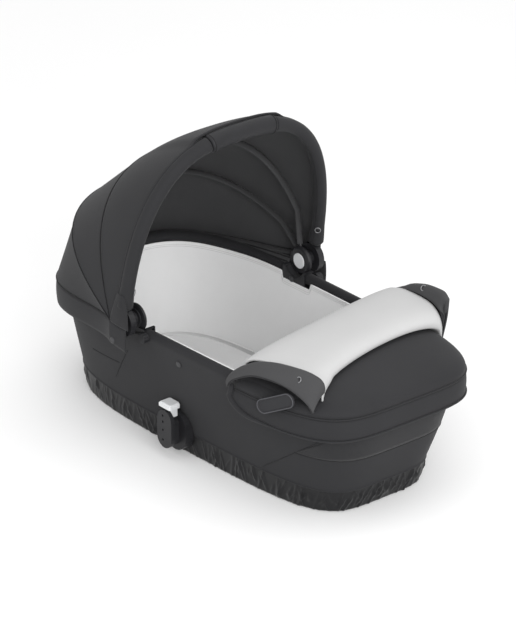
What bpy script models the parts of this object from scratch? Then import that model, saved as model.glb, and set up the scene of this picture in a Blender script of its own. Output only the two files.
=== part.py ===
"""Carrycot with a folding hood and a rolled-back apron.

Metres, +Z up, +X towards the foot end, +Y the left side of the child who lies in it.
The origin is on the ground under the middle of the whole carrycot.
"""
from collections import namedtuple
from math import acos, asin, atan, cos, pi, radians, sin, sqrt

import bmesh
import bpy
from mathutils import Matrix, Vector

# Clearances and wall thicknesses
TOUCH = 0.0003
SLIDE_GAP = 0.0004
CLOTH = 0.0022
LINING = 0.0030
OVERRUN = 0.020

# Plan of the tub at its named heights: reach to the head, reach to the foot, half width
Level = namedtuple("Level", "z head foot side")
TUB_CENTRE_X = -0.017
HEAD_POWER = 3.35
FOOT_POWER = 4.5
TAPER_SHARE = 0.035
PLAN_POINTS = 48
BASE_HEAD = 0.372
BASE_FOOT = 0.388
BASE_SIDE = 0.155
HEM_Z = 0.047
HEM_HEAD = 0.380
HEM_FOOT = 0.401
HEM_SIDE = 0.1585
WAIST_Z = 0.120
WAIST_HEAD = 0.388
WAIST_FOOT = 0.427
WAIST_SIDE = 0.1755
SHOULDER_Z = 0.190
SHOULDER_HEAD = 0.393
SHOULDER_FOOT = 0.445
SHOULDER_SIDE = 0.192
RIM_Z = 0.228
RIM_HEAD = 0.385
RIM_FOOT = 0.440
RIM_SIDE = 0.191
BASE_LEVEL = Level(0.0, BASE_HEAD, BASE_FOOT, BASE_SIDE)
HEM_LEVEL = Level(HEM_Z, HEM_HEAD, HEM_FOOT, HEM_SIDE)
WAIST_LEVEL = Level(WAIST_Z, WAIST_HEAD, WAIST_FOOT, WAIST_SIDE)
SHOULDER_LEVEL = Level(SHOULDER_Z, SHOULDER_HEAD, SHOULDER_FOOT, SHOULDER_SIDE)
RIM_LEVEL = Level(RIM_Z, RIM_HEAD, RIM_FOOT, RIM_SIDE)
TUB_LEVELS = (BASE_LEVEL, HEM_LEVEL, WAIST_LEVEL, SHOULDER_LEVEL)

# Base tray, board and posts
TRAY_FLOOR = 0.004
TRAY_WALL = 0.003
TRAY_HEIGHT = 0.040
TRAY_EDGE = 0.003
BOARD_THICKNESS = 0.003
BOARD_INSET = 0.0172
POST_WIDTH = 0.030
POST_THICKNESS = 0.004
POST_FOOT_INSET = 0.0122
POST_TOP_INSET = 0.0045

# Rim tube and the cover drawn over it
RIM_TUBE = 0.008
RIM_WRAP_STEPS = 4
COVER_LIP = 0.0065
HEM_FOLDS = 64
HEM_RIPPLE = 0.0008
HEM_LIFT = 0.002

# Liner and mattress
LINER_TOP_DROP = 0.007
FLOOR_HEAD = 0.325
FLOOR_FOOT = 0.350
FLOOR_SIDE = 0.136
SEAT_Z = 0.062
SEAT_HEAD = 0.332
SEAT_FOOT = 0.372
SEAT_SIDE = 0.148
LINER_FOOT = Level(TRAY_FLOOR + BOARD_THICKNESS + 2 * TOUCH, FLOOR_HEAD, FLOOR_FOOT, FLOOR_SIDE)
LINER_SEAT = Level(SEAT_Z, SEAT_HEAD, SEAT_FOOT, SEAT_SIDE)
NOTCH_START_X = -0.121
NOTCH_END_X = -0.040
NOTCH_DEPTH = 0.0105
MATTRESS_HEIGHT = 0.046
MATTRESS_CROWN = 0.006
MATTRESS_TUCK = 0.005
MATTRESS_INSET = 0.004
MATTRESS_RISE_SHARES = (0.0, 0.12, 0.45, 0.75, 0.93, 1.0, 1.0, 1.0)
MATTRESS_TUCK_SHARES = (1.0, 0.5, 0.0, 0.0, 0.5, 2.0, 8.0, 18.0)
MATTRESS_CROWN_SHARES = (0.0, 0.0, 0.0, 0.0, 0.0, 0.0, 0.6, 1.0)

# Apron over the foot end, a little wider than the rim, and its folds' places back from its lip
APRON_LAP = 0.0165
APRON_SIDE_LAP = 0.0175
APRON_REACH = RIM_FOOT + APRON_LAP
APRON_SIDE = RIM_SIDE + APRON_SIDE_LAP
APRON_LIP_X = TUB_CENTRE_X + APRON_REACH
APRON_POWER = 4.8
APRON_EDGE_DROP = 0.0063
APRON_EDGE_Z = RIM_Z - APRON_EDGE_DROP
APRON_CROWN = 0.044
APRON_DOME_POWER = 3.0
FOLD_RIGHT_BACK = 0.2345
FOLD_LEFT_BACK = 0.2995
APRON_FOLD_RIGHT_X = APRON_LIP_X - FOLD_RIGHT_BACK
APRON_FOLD_LEFT_X = APRON_LIP_X - FOLD_LEFT_BACK
APRON_SPOKES = 28
APRON_RING_SHARES = (1.0, 0.99, 0.97, 0.94, 0.87, 0.72, 0.40)
SKIRT_DROP = 0.044
SKIRT_POINTS = 44

# Folded-back flap of the apron, white side up: its edges' places back from the apron's lip
FLAP_RISE = 0.066
FLAP_TOP_Z = APRON_EDGE_Z + FLAP_RISE
FLAP_ROWS = 13
FLAP_POINTS = 20
FLAP_POWER = 2.6
FLAP_HEAD_RIGHT_BACK = 0.2325
FLAP_HEAD_LEFT_BACK = 0.2975
FLAP_FOOT_RIGHT_BACK = 0.0615
FLAP_FOOT_MIDDLE_BACK = 0.1335
FLAP_FOOT_LEFT_BACK = 0.1395
FLAP_HEAD_RIGHT_X = APRON_LIP_X - FLAP_HEAD_RIGHT_BACK
FLAP_HEAD_LEFT_X = APRON_LIP_X - FLAP_HEAD_LEFT_BACK
FLAP_FOOT_RIGHT_X = APRON_LIP_X - FLAP_FOOT_RIGHT_BACK
FLAP_FOOT_MIDDLE_X = APRON_LIP_X - FLAP_FOOT_MIDDLE_BACK
FLAP_FOOT_LEFT_X = APRON_LIP_X - FLAP_FOOT_LEFT_BACK
FLAP_LIFT = 0.0030

# Dark ends of the flap: the right one hangs down the side, the left one stands up
FLAP_END_THICKNESS = 0.009
FLAP_END_EDGE = 0.003
RIGHT_END_HEAD_BACK = 0.2535
RIGHT_END_FOOT_BACK = 0.0735
RIGHT_END_DROP = 0.026
RIGHT_END_RISE = 0.062
LEFT_END_HEAD_BACK = 0.2895
LEFT_END_FOOT_BACK = 0.1435
LEFT_END_DROP = -0.006
LEFT_END_RISE = 0.081
RIGHT_END_HEAD_X = APRON_LIP_X - RIGHT_END_HEAD_BACK
RIGHT_END_FOOT_X = APRON_LIP_X - RIGHT_END_FOOT_BACK
RIGHT_END_LOW_Z = APRON_EDGE_Z - RIGHT_END_DROP
RIGHT_END_TOP_Z = APRON_EDGE_Z + RIGHT_END_RISE
LEFT_END_HEAD_X = APRON_LIP_X - LEFT_END_HEAD_BACK
LEFT_END_FOOT_X = APRON_LIP_X - LEFT_END_FOOT_BACK
LEFT_END_LOW_Z = APRON_EDGE_Z - LEFT_END_DROP
LEFT_END_TOP_Z = APRON_EDGE_Z + LEFT_END_RISE
FLAP_END_COLUMNS = 11
FLAP_END_ROWS = 7
FLAP_END_ROUND = 0.030

# Blank oval tag on the right side
TAG_BACK = 0.1215
TAG_RISE = 0.014
TAG_X = APRON_LIP_X - TAG_BACK
TAG_Z = APRON_EDGE_Z + TAG_RISE
TAG_LENGTH = 0.088
TAG_HEIGHT = 0.028
TAG_THICKNESS = 0.0034
TAG_BORDER = 0.0030
TAG_RECESS = 0.0012
TAG_TILT = radians(27)

# Chassis adapter on each side
ADAPTER_X = -0.003
FLANGE_WIDTH = 0.062
FLANGE_HEIGHT = 0.080
FLANGE_Z = 0.052
FLANGE_FACE_Y = 0.1775
NECK_WIDTH = 0.024
NECK_HEIGHT = 0.056
PLATE_WIDTH = 0.041
PLATE_HEIGHT = 0.076
PLATE_Z = 0.061
PLATE_BACK_Y = 0.1950
PLATE_THICKNESS = 0.0080
HOLE_RADIUS = 0.0024
HOLE_HEIGHT_SHARES = (-0.30, -0.04, 0.18, 0.34)
HOLE_OFFSET_X = -0.004
BUTTON_WIDTH = 0.034
BUTTON_HEIGHT = 0.009
BUTTON_TRAVEL = 0.004
BUTTON_EDGE = 0.003
STEM_WIDTH = 0.020

# Hood hinge on each side
HUB_X = -0.088
HUB_Z = 0.254
HUB_RADIUS = 0.028
HUB_SET = 0.0010
HUB_THICKNESS = 0.0074
HUB_NECK = 0.0010
HUB_INNER_Y = RIM_SIDE + HUB_SET
HUB_BACK_Y = HUB_INNER_Y + HUB_THICKNESS
HUB_NECK_RADIUS = 0.0118
HUB_DOME = 0.004
HUB_POCKET_CLEAR = 0.0015
HUB_POCKET_STEPS = 40
LUG_Y = HUB_BACK_Y + HUB_NECK
LUG_THICKNESS = 0.0026
LUG_RADIUS = 0.019
LUG_FOOT = 0.060
LUG_FOOT_HEIGHT = 0.004
EYE_RADIUS = 0.014
EYE_THICKNESS = 0.0046
PIN_RADIUS = 0.005
PIN_HEAD_RADIUS = 0.009
PIN_HEAD = 0.003
SOCKET_DEPTH = 0.0123
EYE_COUNT = 3
EYE_STEP = EYE_THICKNESS + SLIDE_GAP
SOCKET_Y = LUG_Y + LUG_THICKNESS + SLIDE_GAP + EYE_COUNT * EYE_STEP
MEMORY_RADIUS = 0.015
MEMORY_LENGTH = 0.0040
MEMORY_PROUD = 0.0015
MEMORY_POCKET = 0.0060
TAB_WIDTH = 0.063
TAB_THICKNESS = 0.0024
TAB_DROP = 0.026
KNOB_X = -0.052
KNOB_RADIUS = 0.009
KNOB_LENGTH = 0.012
KNOB_RIDGE = 0.0008
KNOB_RIDGES = 12

# Hood cloth's seams meet in a point on each side, clear of the hinge
SEAM_FOOT_X = -0.112
SEAM_FOOT_Z = 0.253
SEAM_CLEAR = 0.0088
SEAM_FOOT_SIDE = SOCKET_Y + SOCKET_DEPTH + SEAM_CLEAR
SEAM_FLARE_POWER = 6
SEAM_SHIFT = 0.0012

# Hood bows: half width, reach from the hinge to the top and tilt from upright
Bow = namedtuple("Bow", "side reach tilt power")
FRONT_BOW_TUCK = 0.0115
SECOND_BOW_TUCK = 0.0045
THIRD_BOW_TUCK = 0.0055
REAR_BOW_TUCK = 0.0280
FRONT_BOW_REACH = 0.338
SECOND_BOW_REACH = 0.281
THIRD_BOW_REACH = 0.299
REAR_BOW_REACH = 0.347
FRONT_BOW = Bow(SEAM_FOOT_SIDE - FRONT_BOW_TUCK, FRONT_BOW_REACH, radians(10.6), 2.75)
SECOND_BOW = Bow(SEAM_FOOT_SIDE - SECOND_BOW_TUCK, SECOND_BOW_REACH, radians(-26.0), 2.63)
THIRD_BOW = Bow(SEAM_FOOT_SIDE - THIRD_BOW_TUCK, THIRD_BOW_REACH, radians(-62.3), 2.59)
REAR_BOW = Bow(SEAM_FOOT_SIDE - REAR_BOW_TUCK, REAR_BOW_REACH, radians(-95.9), 2.95)
BOW_TUBE = 0.011
WIRE_RADIUS = 0.0023
WIRE_INSET = 0.009
REAR_WIRE_INSET = 0.0057
WIRE_POINTS = 21
WIRE_SWING = 0.085
GRIP_RADIUS = 0.017
GRIP_LENGTH = 0.150
GRIP_GAP = 0.0010
GRIP_ROWS = 7
GRIP_SIDES = 16
GRIP_CLEAR = 0.030

# Hood cloth
ARCH_POINTS = 31
PANEL_ROWS = 6
HOOD_SKIRT_DROP = 0.046
HOOD_SKIRT_FRONT_X = -0.066
HOOD_SKIRT_TOP_FRONT_Z = 0.247

# Press studs
STUD_RADIUS = 0.0062
STUD_HEIGHT = 0.0030
STUD_TOP_SHARE = 0.6
SKIRT_STUD_X = -0.104
SKIRT_STUD_Z = 0.215
TAB_STUD_X = -0.093
TAB_STUD_Z = 0.2192
COVER_STUD_X = 0.031
COVER_STUD_Z = 0.202

SIDES = (("left", 1), ("right", -1))
LEFT_SIDE = 1
RIGHT_SIDE = -1

parts = None
cutters = None


def clear_scene():
    for thing in list(bpy.data.objects):
        bpy.data.objects.remove(thing, do_unlink=True)


def make_collection(name):
    group = bpy.data.collections.new(name)
    bpy.context.scene.collection.children.link(group)
    return group


def make_material(name, colour, roughness, metallic=0.0):
    material = bpy.data.materials.new(name)
    material.use_nodes = True
    shader = material.node_tree.nodes["Principled BSDF"]
    shader.inputs["Base Color"].default_value = (*colour, 1.0)
    shader.inputs["Roughness"].default_value = roughness
    shader.inputs["Metallic"].default_value = metallic
    return material


DARK_CLOTH = (0.045, 0.046, 0.050)
WHITE_CLOTH = (0.62, 0.62, 0.62)
BLACK_PLASTIC = (0.018, 0.018, 0.020)
GREY_PLASTIC = (0.52, 0.53, 0.54)
METAL = (0.55, 0.55, 0.56)
GRIP_SKIN = (0.028, 0.028, 0.030)
TIMBER_BOARD = (0.30, 0.30, 0.29)


def finish(thing, colour, roughness=0.6, metallic=0.0, sharp=radians(40)):
    """Give a new object its material and shading, and put it in the carrycot's collection."""
    thing.data.materials.append(make_material(thing.name, colour, roughness, metallic))
    if thing.type == "MESH":
        thing.data.shade_smooth()
        thing.data.set_sharp_from_angle(angle=sharp)
    if thing.name not in parts.objects:
        parts.objects.link(thing)
    return thing


def mesh_object(name, bm):
    bmesh.ops.recalc_face_normals(bm, faces=bm.faces)
    mesh = bpy.data.meshes.new(name)
    bm.to_mesh(mesh)
    bm.free()
    return bpy.data.objects.new(name, mesh)


def loft(name, rings, closed=False):
    """Skin closed rings of equally many points, capped, or joined end to start."""
    bm = bmesh.new()
    rows = [[bm.verts.new(point) for point in ring] for ring in rings]
    pairs = list(zip(rows, rows[1:]))
    if closed:
        pairs.append((rows[-1], rows[0]))
    count = len(rows[0])
    for low, high in pairs:
        for i in range(count):
            j = (i + 1) % count
            bm.faces.new((low[i], low[j], high[j], high[i]))
    if not closed:
        bm.faces.new(rows[0])
        bm.faces.new(rows[-1])
    return mesh_object(name, bm)


def sheet(name, outer_rows, inner_rows):
    """Close a sheet: two grids of the same size, joined along all four edges."""
    bm = bmesh.new()
    outer = [[bm.verts.new(point) for point in row] for row in outer_rows]
    inner = [[bm.verts.new(point) for point in row] for row in inner_rows]
    for grid in (outer, inner):
        for low, high in zip(grid, grid[1:]):
            for i in range(len(low) - 1):
                bm.faces.new((low[i], low[i + 1], high[i + 1], high[i]))
    for a, b in ((outer[0], inner[0]), (outer[-1], inner[-1])):
        for i in range(len(a) - 1):
            bm.faces.new((a[i], a[i + 1], b[i + 1], b[i]))
    for column in (0, -1):
        for i in range(len(outer) - 1):
            bm.faces.new((outer[i][column], outer[i + 1][column], inner[i + 1][column], inner[i][column]))
    return mesh_object(name, bm)


def turned(name, profile, centre, side, steps=24):
    """Turn a profile of (radius, height) pairs, running down its outer side, about the Y axis."""
    mesh = bpy.data.meshes.new(name)
    closed = profile[0][0] > 0
    edges = [(i, i + 1) for i in range(len(profile) - 1)]
    if closed:
        edges.append((len(profile) - 1, 0))
    mesh.from_pydata([(radius, 0.0, height) for radius, height in profile], edges, [])
    thing = bpy.data.objects.new(name, mesh)
    thing.location = centre
    thing.rotation_euler = (-side * pi / 2, 0.0, 0.0)
    screw = thing.modifiers.new("turn", "SCREW")
    screw.axis = "Z"
    screw.steps = steps
    screw.render_steps = steps
    screw.use_merge_vertices = True
    screw.merge_threshold = 0.00001
    return thing


def curve_object(name, points, radius, resolution=4, cyclic=False):
    curve = bpy.data.curves.new(name, "CURVE")
    curve.dimensions = "3D"
    curve.bevel_depth = radius
    curve.bevel_resolution = resolution
    curve.use_fill_caps = not cyclic
    spline = curve.splines.new("POLY")
    spline.points.add(len(points) - 1)
    for knot, point in zip(spline.points, points):
        knot.co = (*point, 1.0)
    spline.use_cyclic_u = cyclic
    return bpy.data.objects.new(name, curve)


def plate_object(name, outlines, thickness, matrix):
    """Fill flat outlines, the first the edge and the others holes, to a plate."""
    curve = bpy.data.curves.new(name, "CURVE")
    curve.dimensions = "2D"
    curve.fill_mode = "BOTH"
    curve.extrude = thickness / 2
    for outline in outlines:
        spline = curve.splines.new("POLY")
        spline.points.add(len(outline) - 1)
        for knot, point in zip(spline.points, outline):
            knot.co = (*point, 0.0, 1.0)
        spline.use_cyclic_u = True
    thing = bpy.data.objects.new(name, curve)
    thing.matrix_world = matrix
    return thing


def upright_plane(x, y, z):
    """A frame whose own X is the carrycot's X and whose own Y is its Z."""
    return Matrix.Translation((x, y, z)) @ Matrix.Rotation(pi / 2, 4, "X")


def spread(points, count, closed):
    """Put a fixed number of points at even steps along a fine polyline."""
    path = list(points) + ([points[0]] if closed else [])
    lengths = [0.0]
    for a, b in zip(path, path[1:]):
        lengths.append(lengths[-1] + (Vector(b) - Vector(a)).length)
    steps = count if closed else count - 1
    result = []
    k = 0
    for i in range(count):
        target = lengths[-1] * i / steps
        while k < len(path) - 2 and lengths[k + 1] < target:
            k += 1
        share = (target - lengths[k]) / (lengths[k + 1] - lengths[k])
        result.append(Vector(path[k]).lerp(Vector(path[k + 1]), min(max(share, 0.0), 1.0)))
    return result


def signed_power(value, power):
    return (1 if value >= 0 else -1) * abs(value) ** power


def level_at(z, levels=TUB_LEVELS):
    """Read the tub's plan at any height from the levels above and below it."""
    for low, high in zip(levels, levels[1:]):
        if z <= high.z or high is levels[-1]:
            share = (z - low.z) / (high.z - low.z)
            return Level(z, *(a + (b - a) * share for a, b in zip(low[1:], high[1:])))


def plan_ring(level, grow=0.0, rise=0.0, count=PLAN_POINTS, ripple=None):
    """Outline of the tub at a level, grown outwards and raised."""
    fine = []
    for i in range(12 * PLAN_POINTS):
        angle = 2 * pi * i / (12 * PLAN_POINTS)
        foot = cos(angle) >= 0
        power = 2 / (FOOT_POWER if foot else HEAD_POWER)
        reach = (level.foot if foot else level.head) + grow
        along = signed_power(cos(angle), power)
        taper = 1 - TAPER_SHARE * along
        across = (level.side * taper + grow) * signed_power(sin(angle), power)
        fine.append((TUB_CENTRE_X + reach * along, across, level.z + rise))
    ring = spread(fine, count, True)
    if ripple:
        middle = Vector((TUB_CENTRE_X, 0.0, level.z + rise))
        for i, point in enumerate(ring):
            point += (point - middle).normalized() * (ripple if i % 2 else 0.0)
    return ring


def tub_half_width(x, z):
    """Outer half width of the cover and hem at a place on the side wall."""
    level = level_at(z)
    foot = x >= TUB_CENTRE_X
    reach = level.foot if foot else level.head
    power = FOOT_POWER if foot else HEAD_POWER
    along = (x - TUB_CENTRE_X) / reach
    taper = 1 - TAPER_SHARE * along
    return level.side * taper * (1 - abs(along) ** power) ** (1 / power)


def stadium(width, height, count=10):
    """Upright outline with round ends, centred on zero."""
    radius = width / 2
    lift = height / 2 - radius
    top = [(radius * cos(pi * i / count), lift + radius * sin(pi * i / count)) for i in range(count + 1)]
    return top + [(-x, -y) for x, y in top]


def rounded_rectangle(width, height, corner, count=4):
    outline = []
    for quarter, (sx, sy) in enumerate(((1, 1), (-1, 1), (-1, -1), (1, -1))):
        for i in range(count + 1):
            angle = pi / 2 * (quarter + i / count)
            outline.append((sx * (width / 2 - corner) + corner * cos(angle),
                            sy * (height / 2 - corner) + corner * sin(angle)))
    return outline


def circle(radius, count, x=0.0, y=0.0):
    return [(x + radius * cos(2 * pi * i / count), y + radius * sin(2 * pi * i / count)) for i in range(count)]


def build_base():
    hem_room = CLOTH + HEM_RIPPLE + 2 * TOUCH
    tray_top = level_at(TRAY_HEIGHT)
    floor = level_at(TRAY_FLOOR)
    rings = [plan_ring(BASE_LEVEL, -hem_room - TRAY_EDGE),
             plan_ring(level_at(TRAY_EDGE), -hem_room),
             plan_ring(tray_top, -hem_room),
             plan_ring(tray_top, -hem_room - TRAY_WALL),
             plan_ring(floor, -hem_room - TRAY_WALL)]
    finish(loft("base_tray", rings), BLACK_PLASTIC, 0.5)
    low = Level(TRAY_FLOOR + TOUCH, *BASE_LEVEL[1:])
    rings = [plan_ring(low, -BOARD_INSET), plan_ring(low, -BOARD_INSET, BOARD_THICKNESS)]
    finish(loft("base_board", rings), TIMBER_BOARD, 0.8)


def build_posts():
    foot_z = TRAY_FLOOR + TOUCH
    top_z = RIM_LEVEL.z - RIM_TUBE - 2 * TOUCH
    foot_y = BASE_LEVEL.side - POST_FOOT_INSET
    top_y = RIM_LEVEL.side - POST_TOP_INSET
    half = POST_WIDTH / 2
    for name, side in SIDES:
        rings = []
        for y, z in ((foot_y, foot_z), (top_y, top_z)):
            rings.append([(ADAPTER_X + a * half, side * (y - b * POST_THICKNESS), z)
                          for a, b in ((-1, 0), (1, 0), (1, 1), (-1, 1))])
        finish(loft("side_post_" + name, rings), METAL, 0.4, 0.8)


def add_cutter(name, bm, place):
    cutter = mesh_object(name, bm)
    cutter.location = place
    cutter.hide_render = True
    cutter.display_type = "WIRE"
    cutters.objects.link(cutter)
    return cutter


def cut(thing, cutter):
    difference = thing.modifiers.new("cut", "BOOLEAN")
    difference.object = cutter
    difference.operation = "DIFFERENCE"


def build_pockets():
    """Round pockets across the rim and its cover, in which the hood's hubs turn."""
    radius = HUB_RADIUS + HUB_POCKET_CLEAR
    for name, side in SIDES:
        round_bar = bmesh.new()
        bmesh.ops.create_cone(round_bar, cap_ends=True, segments=HUB_POCKET_STEPS, radius1=radius,
                              radius2=radius, depth=2 * OVERRUN)
        turn = Matrix.Rotation(pi / 2, 4, "X")
        bmesh.ops.transform(round_bar, matrix=turn, verts=round_bar.verts)
        add_cutter("hub_pocket_" + name, round_bar, (HUB_X, side * RIM_SIDE, HUB_Z))


def cut_pockets(thing):
    for name, side in SIDES:
        cut(thing, cutters.objects["hub_pocket_" + name])


def build_rim():
    rings = []
    for i in range(2 * RIM_WRAP_STEPS):
        angle = pi * i / RIM_WRAP_STEPS
        rings.append(plan_ring(RIM_LEVEL, RIM_TUBE * cos(angle), RIM_TUBE * sin(angle)))
    rim = loft("rim_frame", rings, True)
    cut_pockets(rim)
    finish(rim, METAL, 0.35, 0.9)


def rim_wrap(radius):
    """Rings round the rim tube, from the outside over the top to the inside."""
    rings = []
    for i in range(RIM_WRAP_STEPS + 1):
        angle = pi * i / RIM_WRAP_STEPS
        rings.append(plan_ring(RIM_LEVEL, radius * cos(angle), radius * sin(angle)))
    return rings


def build_cover():
    low = Level(HEM_LEVEL.z + TOUCH, *HEM_LEVEL[1:])
    skin = RIM_TUBE + TOUCH
    outer = [plan_ring(level) for level in (low, WAIST_LEVEL, SHOULDER_LEVEL)]
    outer += rim_wrap(skin + CLOTH) + [plan_ring(RIM_LEVEL, -skin - CLOTH, -COVER_LIP)]
    inner = [plan_ring(level, -CLOTH) for level in (low, WAIST_LEVEL, SHOULDER_LEVEL)]
    inner += rim_wrap(skin) + [plan_ring(RIM_LEVEL, -skin, -COVER_LIP)]
    cover = loft("outer_cover", outer + inner[::-1], True)
    cut_pockets(cover)
    finish(cover, DARK_CLOTH, 0.85)
    count = 2 * HEM_FOLDS
    low = level_at(HEM_LIFT)
    middle = level_at(HEM_LEVEL.z / 2)
    rings = [plan_ring(low, -HEM_RIPPLE, 0.0, count, HEM_RIPPLE),
             plan_ring(middle, 0.0, 0.0, count, HEM_RIPPLE),
             plan_ring(HEM_LEVEL, -HEM_RIPPLE, 0.0, count, HEM_RIPPLE),
             plan_ring(HEM_LEVEL, -CLOTH - HEM_RIPPLE, 0.0, count),
             plan_ring(low, -CLOTH - HEM_RIPPLE, 0.0, count)]
    finish(loft("ruched_hem", rings, True), DARK_CLOTH, 0.6)


def liner_levels():
    top = Level(RIM_LEVEL.z - LINER_TOP_DROP, *(size - RIM_TUBE - TOUCH for size in RIM_LEVEL[1:]))
    return LINER_FOOT, LINER_SEAT, top


def build_liner():
    foot, seat, top = liner_levels()
    bottom = Level(foot.z + LINING, *foot[1:])
    rings = [plan_ring(foot), plan_ring(seat), plan_ring(top),
             plan_ring(top, -LINING), plan_ring(seat, -LINING), plan_ring(bottom, -LINING)]
    liner = loft("liner", rings)
    notch = bmesh.new()
    bmesh.ops.create_cube(notch, size=1.0)
    length = NOTCH_END_X - NOTCH_START_X
    height = NOTCH_DEPTH + OVERRUN
    bmesh.ops.scale(notch, vec=(length, 2 * RIM_LEVEL.side + OVERRUN, height), verts=notch.verts)
    place = (NOTCH_START_X + length / 2, 0.0, top.z - NOTCH_DEPTH + height / 2)
    cut(liner, add_cutter("liner_notch", notch, place))
    finish(liner, WHITE_CLOTH, 0.9)


def build_mattress():
    foot, seat, top = liner_levels()
    levels = (foot, seat, top)
    base = foot.z + LINING + TOUCH
    rings = []
    for rise, tuck, crown in zip(MATTRESS_RISE_SHARES, MATTRESS_TUCK_SHARES, MATTRESS_CROWN_SHARES):
        level = level_at(base + MATTRESS_HEIGHT * rise, levels)
        grow = -LINING - MATTRESS_INSET - MATTRESS_TUCK * tuck
        rings.append(plan_ring(level, grow, MATTRESS_CROWN * crown))
    finish(loft("mattress", rings), WHITE_CLOTH, 0.9)


def apron_share(x, y):
    """How far out a place lies under the apron: zero in the middle and one at its edge."""
    along = abs(x - TUB_CENTRE_X) / APRON_REACH
    across = abs(y) / APRON_SIDE
    return (along ** APRON_POWER + across ** APRON_POWER) ** (1 / APRON_POWER)


def apron_height(x, y):
    share = min(apron_share(x, y), 1.0)
    return APRON_EDGE_Z + APRON_CROWN * (1 - share ** APRON_DOME_POWER) ** (1 / APRON_DOME_POWER)


def apron_edge(count, grow=0.0):
    """The apron's outline from its right fold, round the foot end, to its left fold."""
    fine = []
    for i in range(721):
        angle = pi * (i / 720 - 0.5)
        x = TUB_CENTRE_X + (APRON_REACH + grow) * abs(cos(angle)) ** (2 / APRON_POWER)
        y = (APRON_SIDE + grow) * signed_power(sin(angle), 2 / APRON_POWER)
        start = APRON_FOLD_RIGHT_X if y < 0 else APRON_FOLD_LEFT_X
        if x >= start:
            fine.append((x, y, 0.0))
    return spread(fine, count, False)


def build_apron():
    middle = Vector(((APRON_FOLD_RIGHT_X + APRON_FOLD_LEFT_X) / 2, 0.0, 0.0))
    edge = apron_edge(APRON_SPOKES + 1)
    outer_rows = []
    inner_rows = []
    for share in APRON_RING_SHARES:
        outer = []
        inner = []
        for point in edge:
            place = middle.lerp(point, share)
            z = apron_height(place.x, place.y)
            outer.append((place.x, place.y, z))
            inner.append((place.x, place.y, z - CLOTH))
        outer_rows.append(outer)
        inner_rows.append(inner)
    bm = bmesh.new()
    grids = [[[bm.verts.new(p) for p in row] for row in rows] for rows in (outer_rows, inner_rows)]
    tops = []
    for grid, drop in zip(grids, (0.0, CLOTH)):
        hub = bm.verts.new((middle.x, 0.0, apron_height(middle.x, 0.0) - drop))
        tops.append(hub)
        for low, high in zip(grid, grid[1:]):
            for i in range(APRON_SPOKES):
                bm.faces.new((low[i], low[i + 1], high[i + 1], high[i]))
        for i in range(APRON_SPOKES):
            bm.faces.new((grid[-1][i], grid[-1][i + 1], hub))
    outer, inner = grids
    for i in range(APRON_SPOKES):
        bm.faces.new((outer[0][i], outer[0][i + 1], inner[0][i + 1], inner[0][i]))
    for column in (0, -1):
        chain = [row[column] for row in outer] + [tops[0]]
        under = [row[column] for row in inner] + [tops[1]]
        for i in range(len(chain) - 1):
            bm.faces.new((chain[i], chain[i + 1], under[i + 1], under[i]))
    finish(mesh_object("apron_cover", bm), DARK_CLOTH, 0.85)


def build_skirt():
    top = APRON_EDGE_Z - CLOTH - TOUCH
    grids = []
    for grow in (0.0, -CLOTH):
        edge = apron_edge(SKIRT_POINTS, grow)
        grids.append([[(p.x, p.y, z) for p in edge] for z in (top, top - SKIRT_DROP / 2, top - SKIRT_DROP)])
    finish(sheet("apron_skirt", *grids), DARK_CLOTH, 0.85)


def apron_half_width(x):
    along = (x - TUB_CENTRE_X) / APRON_REACH
    return APRON_SIDE * (1 - abs(along) ** APRON_POWER) ** (1 / APRON_POWER)


def flap_limits(across):
    """Head and foot edges of the folded flap, at a share of the way from right to left."""
    head = FLAP_HEAD_RIGHT_X + (FLAP_HEAD_LEFT_X - FLAP_HEAD_RIGHT_X) * across
    mean = FLAP_FOOT_RIGHT_X + (FLAP_FOOT_LEFT_X - FLAP_FOOT_RIGHT_X) * across
    dip = (FLAP_FOOT_RIGHT_X + FLAP_FOOT_LEFT_X) / 2 - FLAP_FOOT_MIDDLE_X
    return head, mean - dip * 4 * across * (1 - across)


def flap_ring(across):
    head, foot = flap_limits(across)
    ring = []
    for i in range(FLAP_POINTS):
        angle = 2 * pi * i / FLAP_POINTS
        x = (head + foot) / 2 + (foot - head) / 2 * signed_power(cos(angle), 2 / FLAP_POWER)
        y = (2 * across - 1) * (apron_half_width(x) - TOUCH)
        low = apron_height(x, y) + FLAP_LIFT
        share = (signed_power(sin(angle), 2 / FLAP_POWER) + 1) / 2
        ring.append((x, y, low + (FLAP_TOP_Z - low) * share))
    return ring


def build_flap():
    rings = [flap_ring((1 - cos(pi * i / (FLAP_ROWS - 1))) / 2) for i in range(FLAP_ROWS)]
    finish(loft("apron_flap", rings), WHITE_CLOTH, 0.9)


def flap_end(name, side, head, foot, low, top):
    """Padded dark cloth hugging the apron's side, its corners rounded off."""
    columns = FLAP_END_COLUMNS - 1
    rows = FLAP_END_ROWS - 1
    grids = ([], [])
    for grid, base in zip(grids, (FLAP_END_THICKNESS, TOUCH)):
        for k in range(FLAP_END_ROWS):
            row = []
            for i in range(FLAP_END_COLUMNS):
                x = head + (foot - head) * i / columns
                near = min(x - head, foot - x)
                cut = FLAP_END_ROUND * (1 - min(near / FLAP_END_ROUND, 1.0)) ** 2
                z = low + cut + (top - low - 2 * cut) * k / rows
                edge = i in (0, columns) or k in (0, rows)
                out = base - (FLAP_END_EDGE if edge and base > TOUCH else 0.0)
                row.append((x, side * (apron_half_width(x) + TOUCH + out), z))
            grid.append(row)
    finish(sheet(name, *grids), DARK_CLOTH, 0.85)


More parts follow.
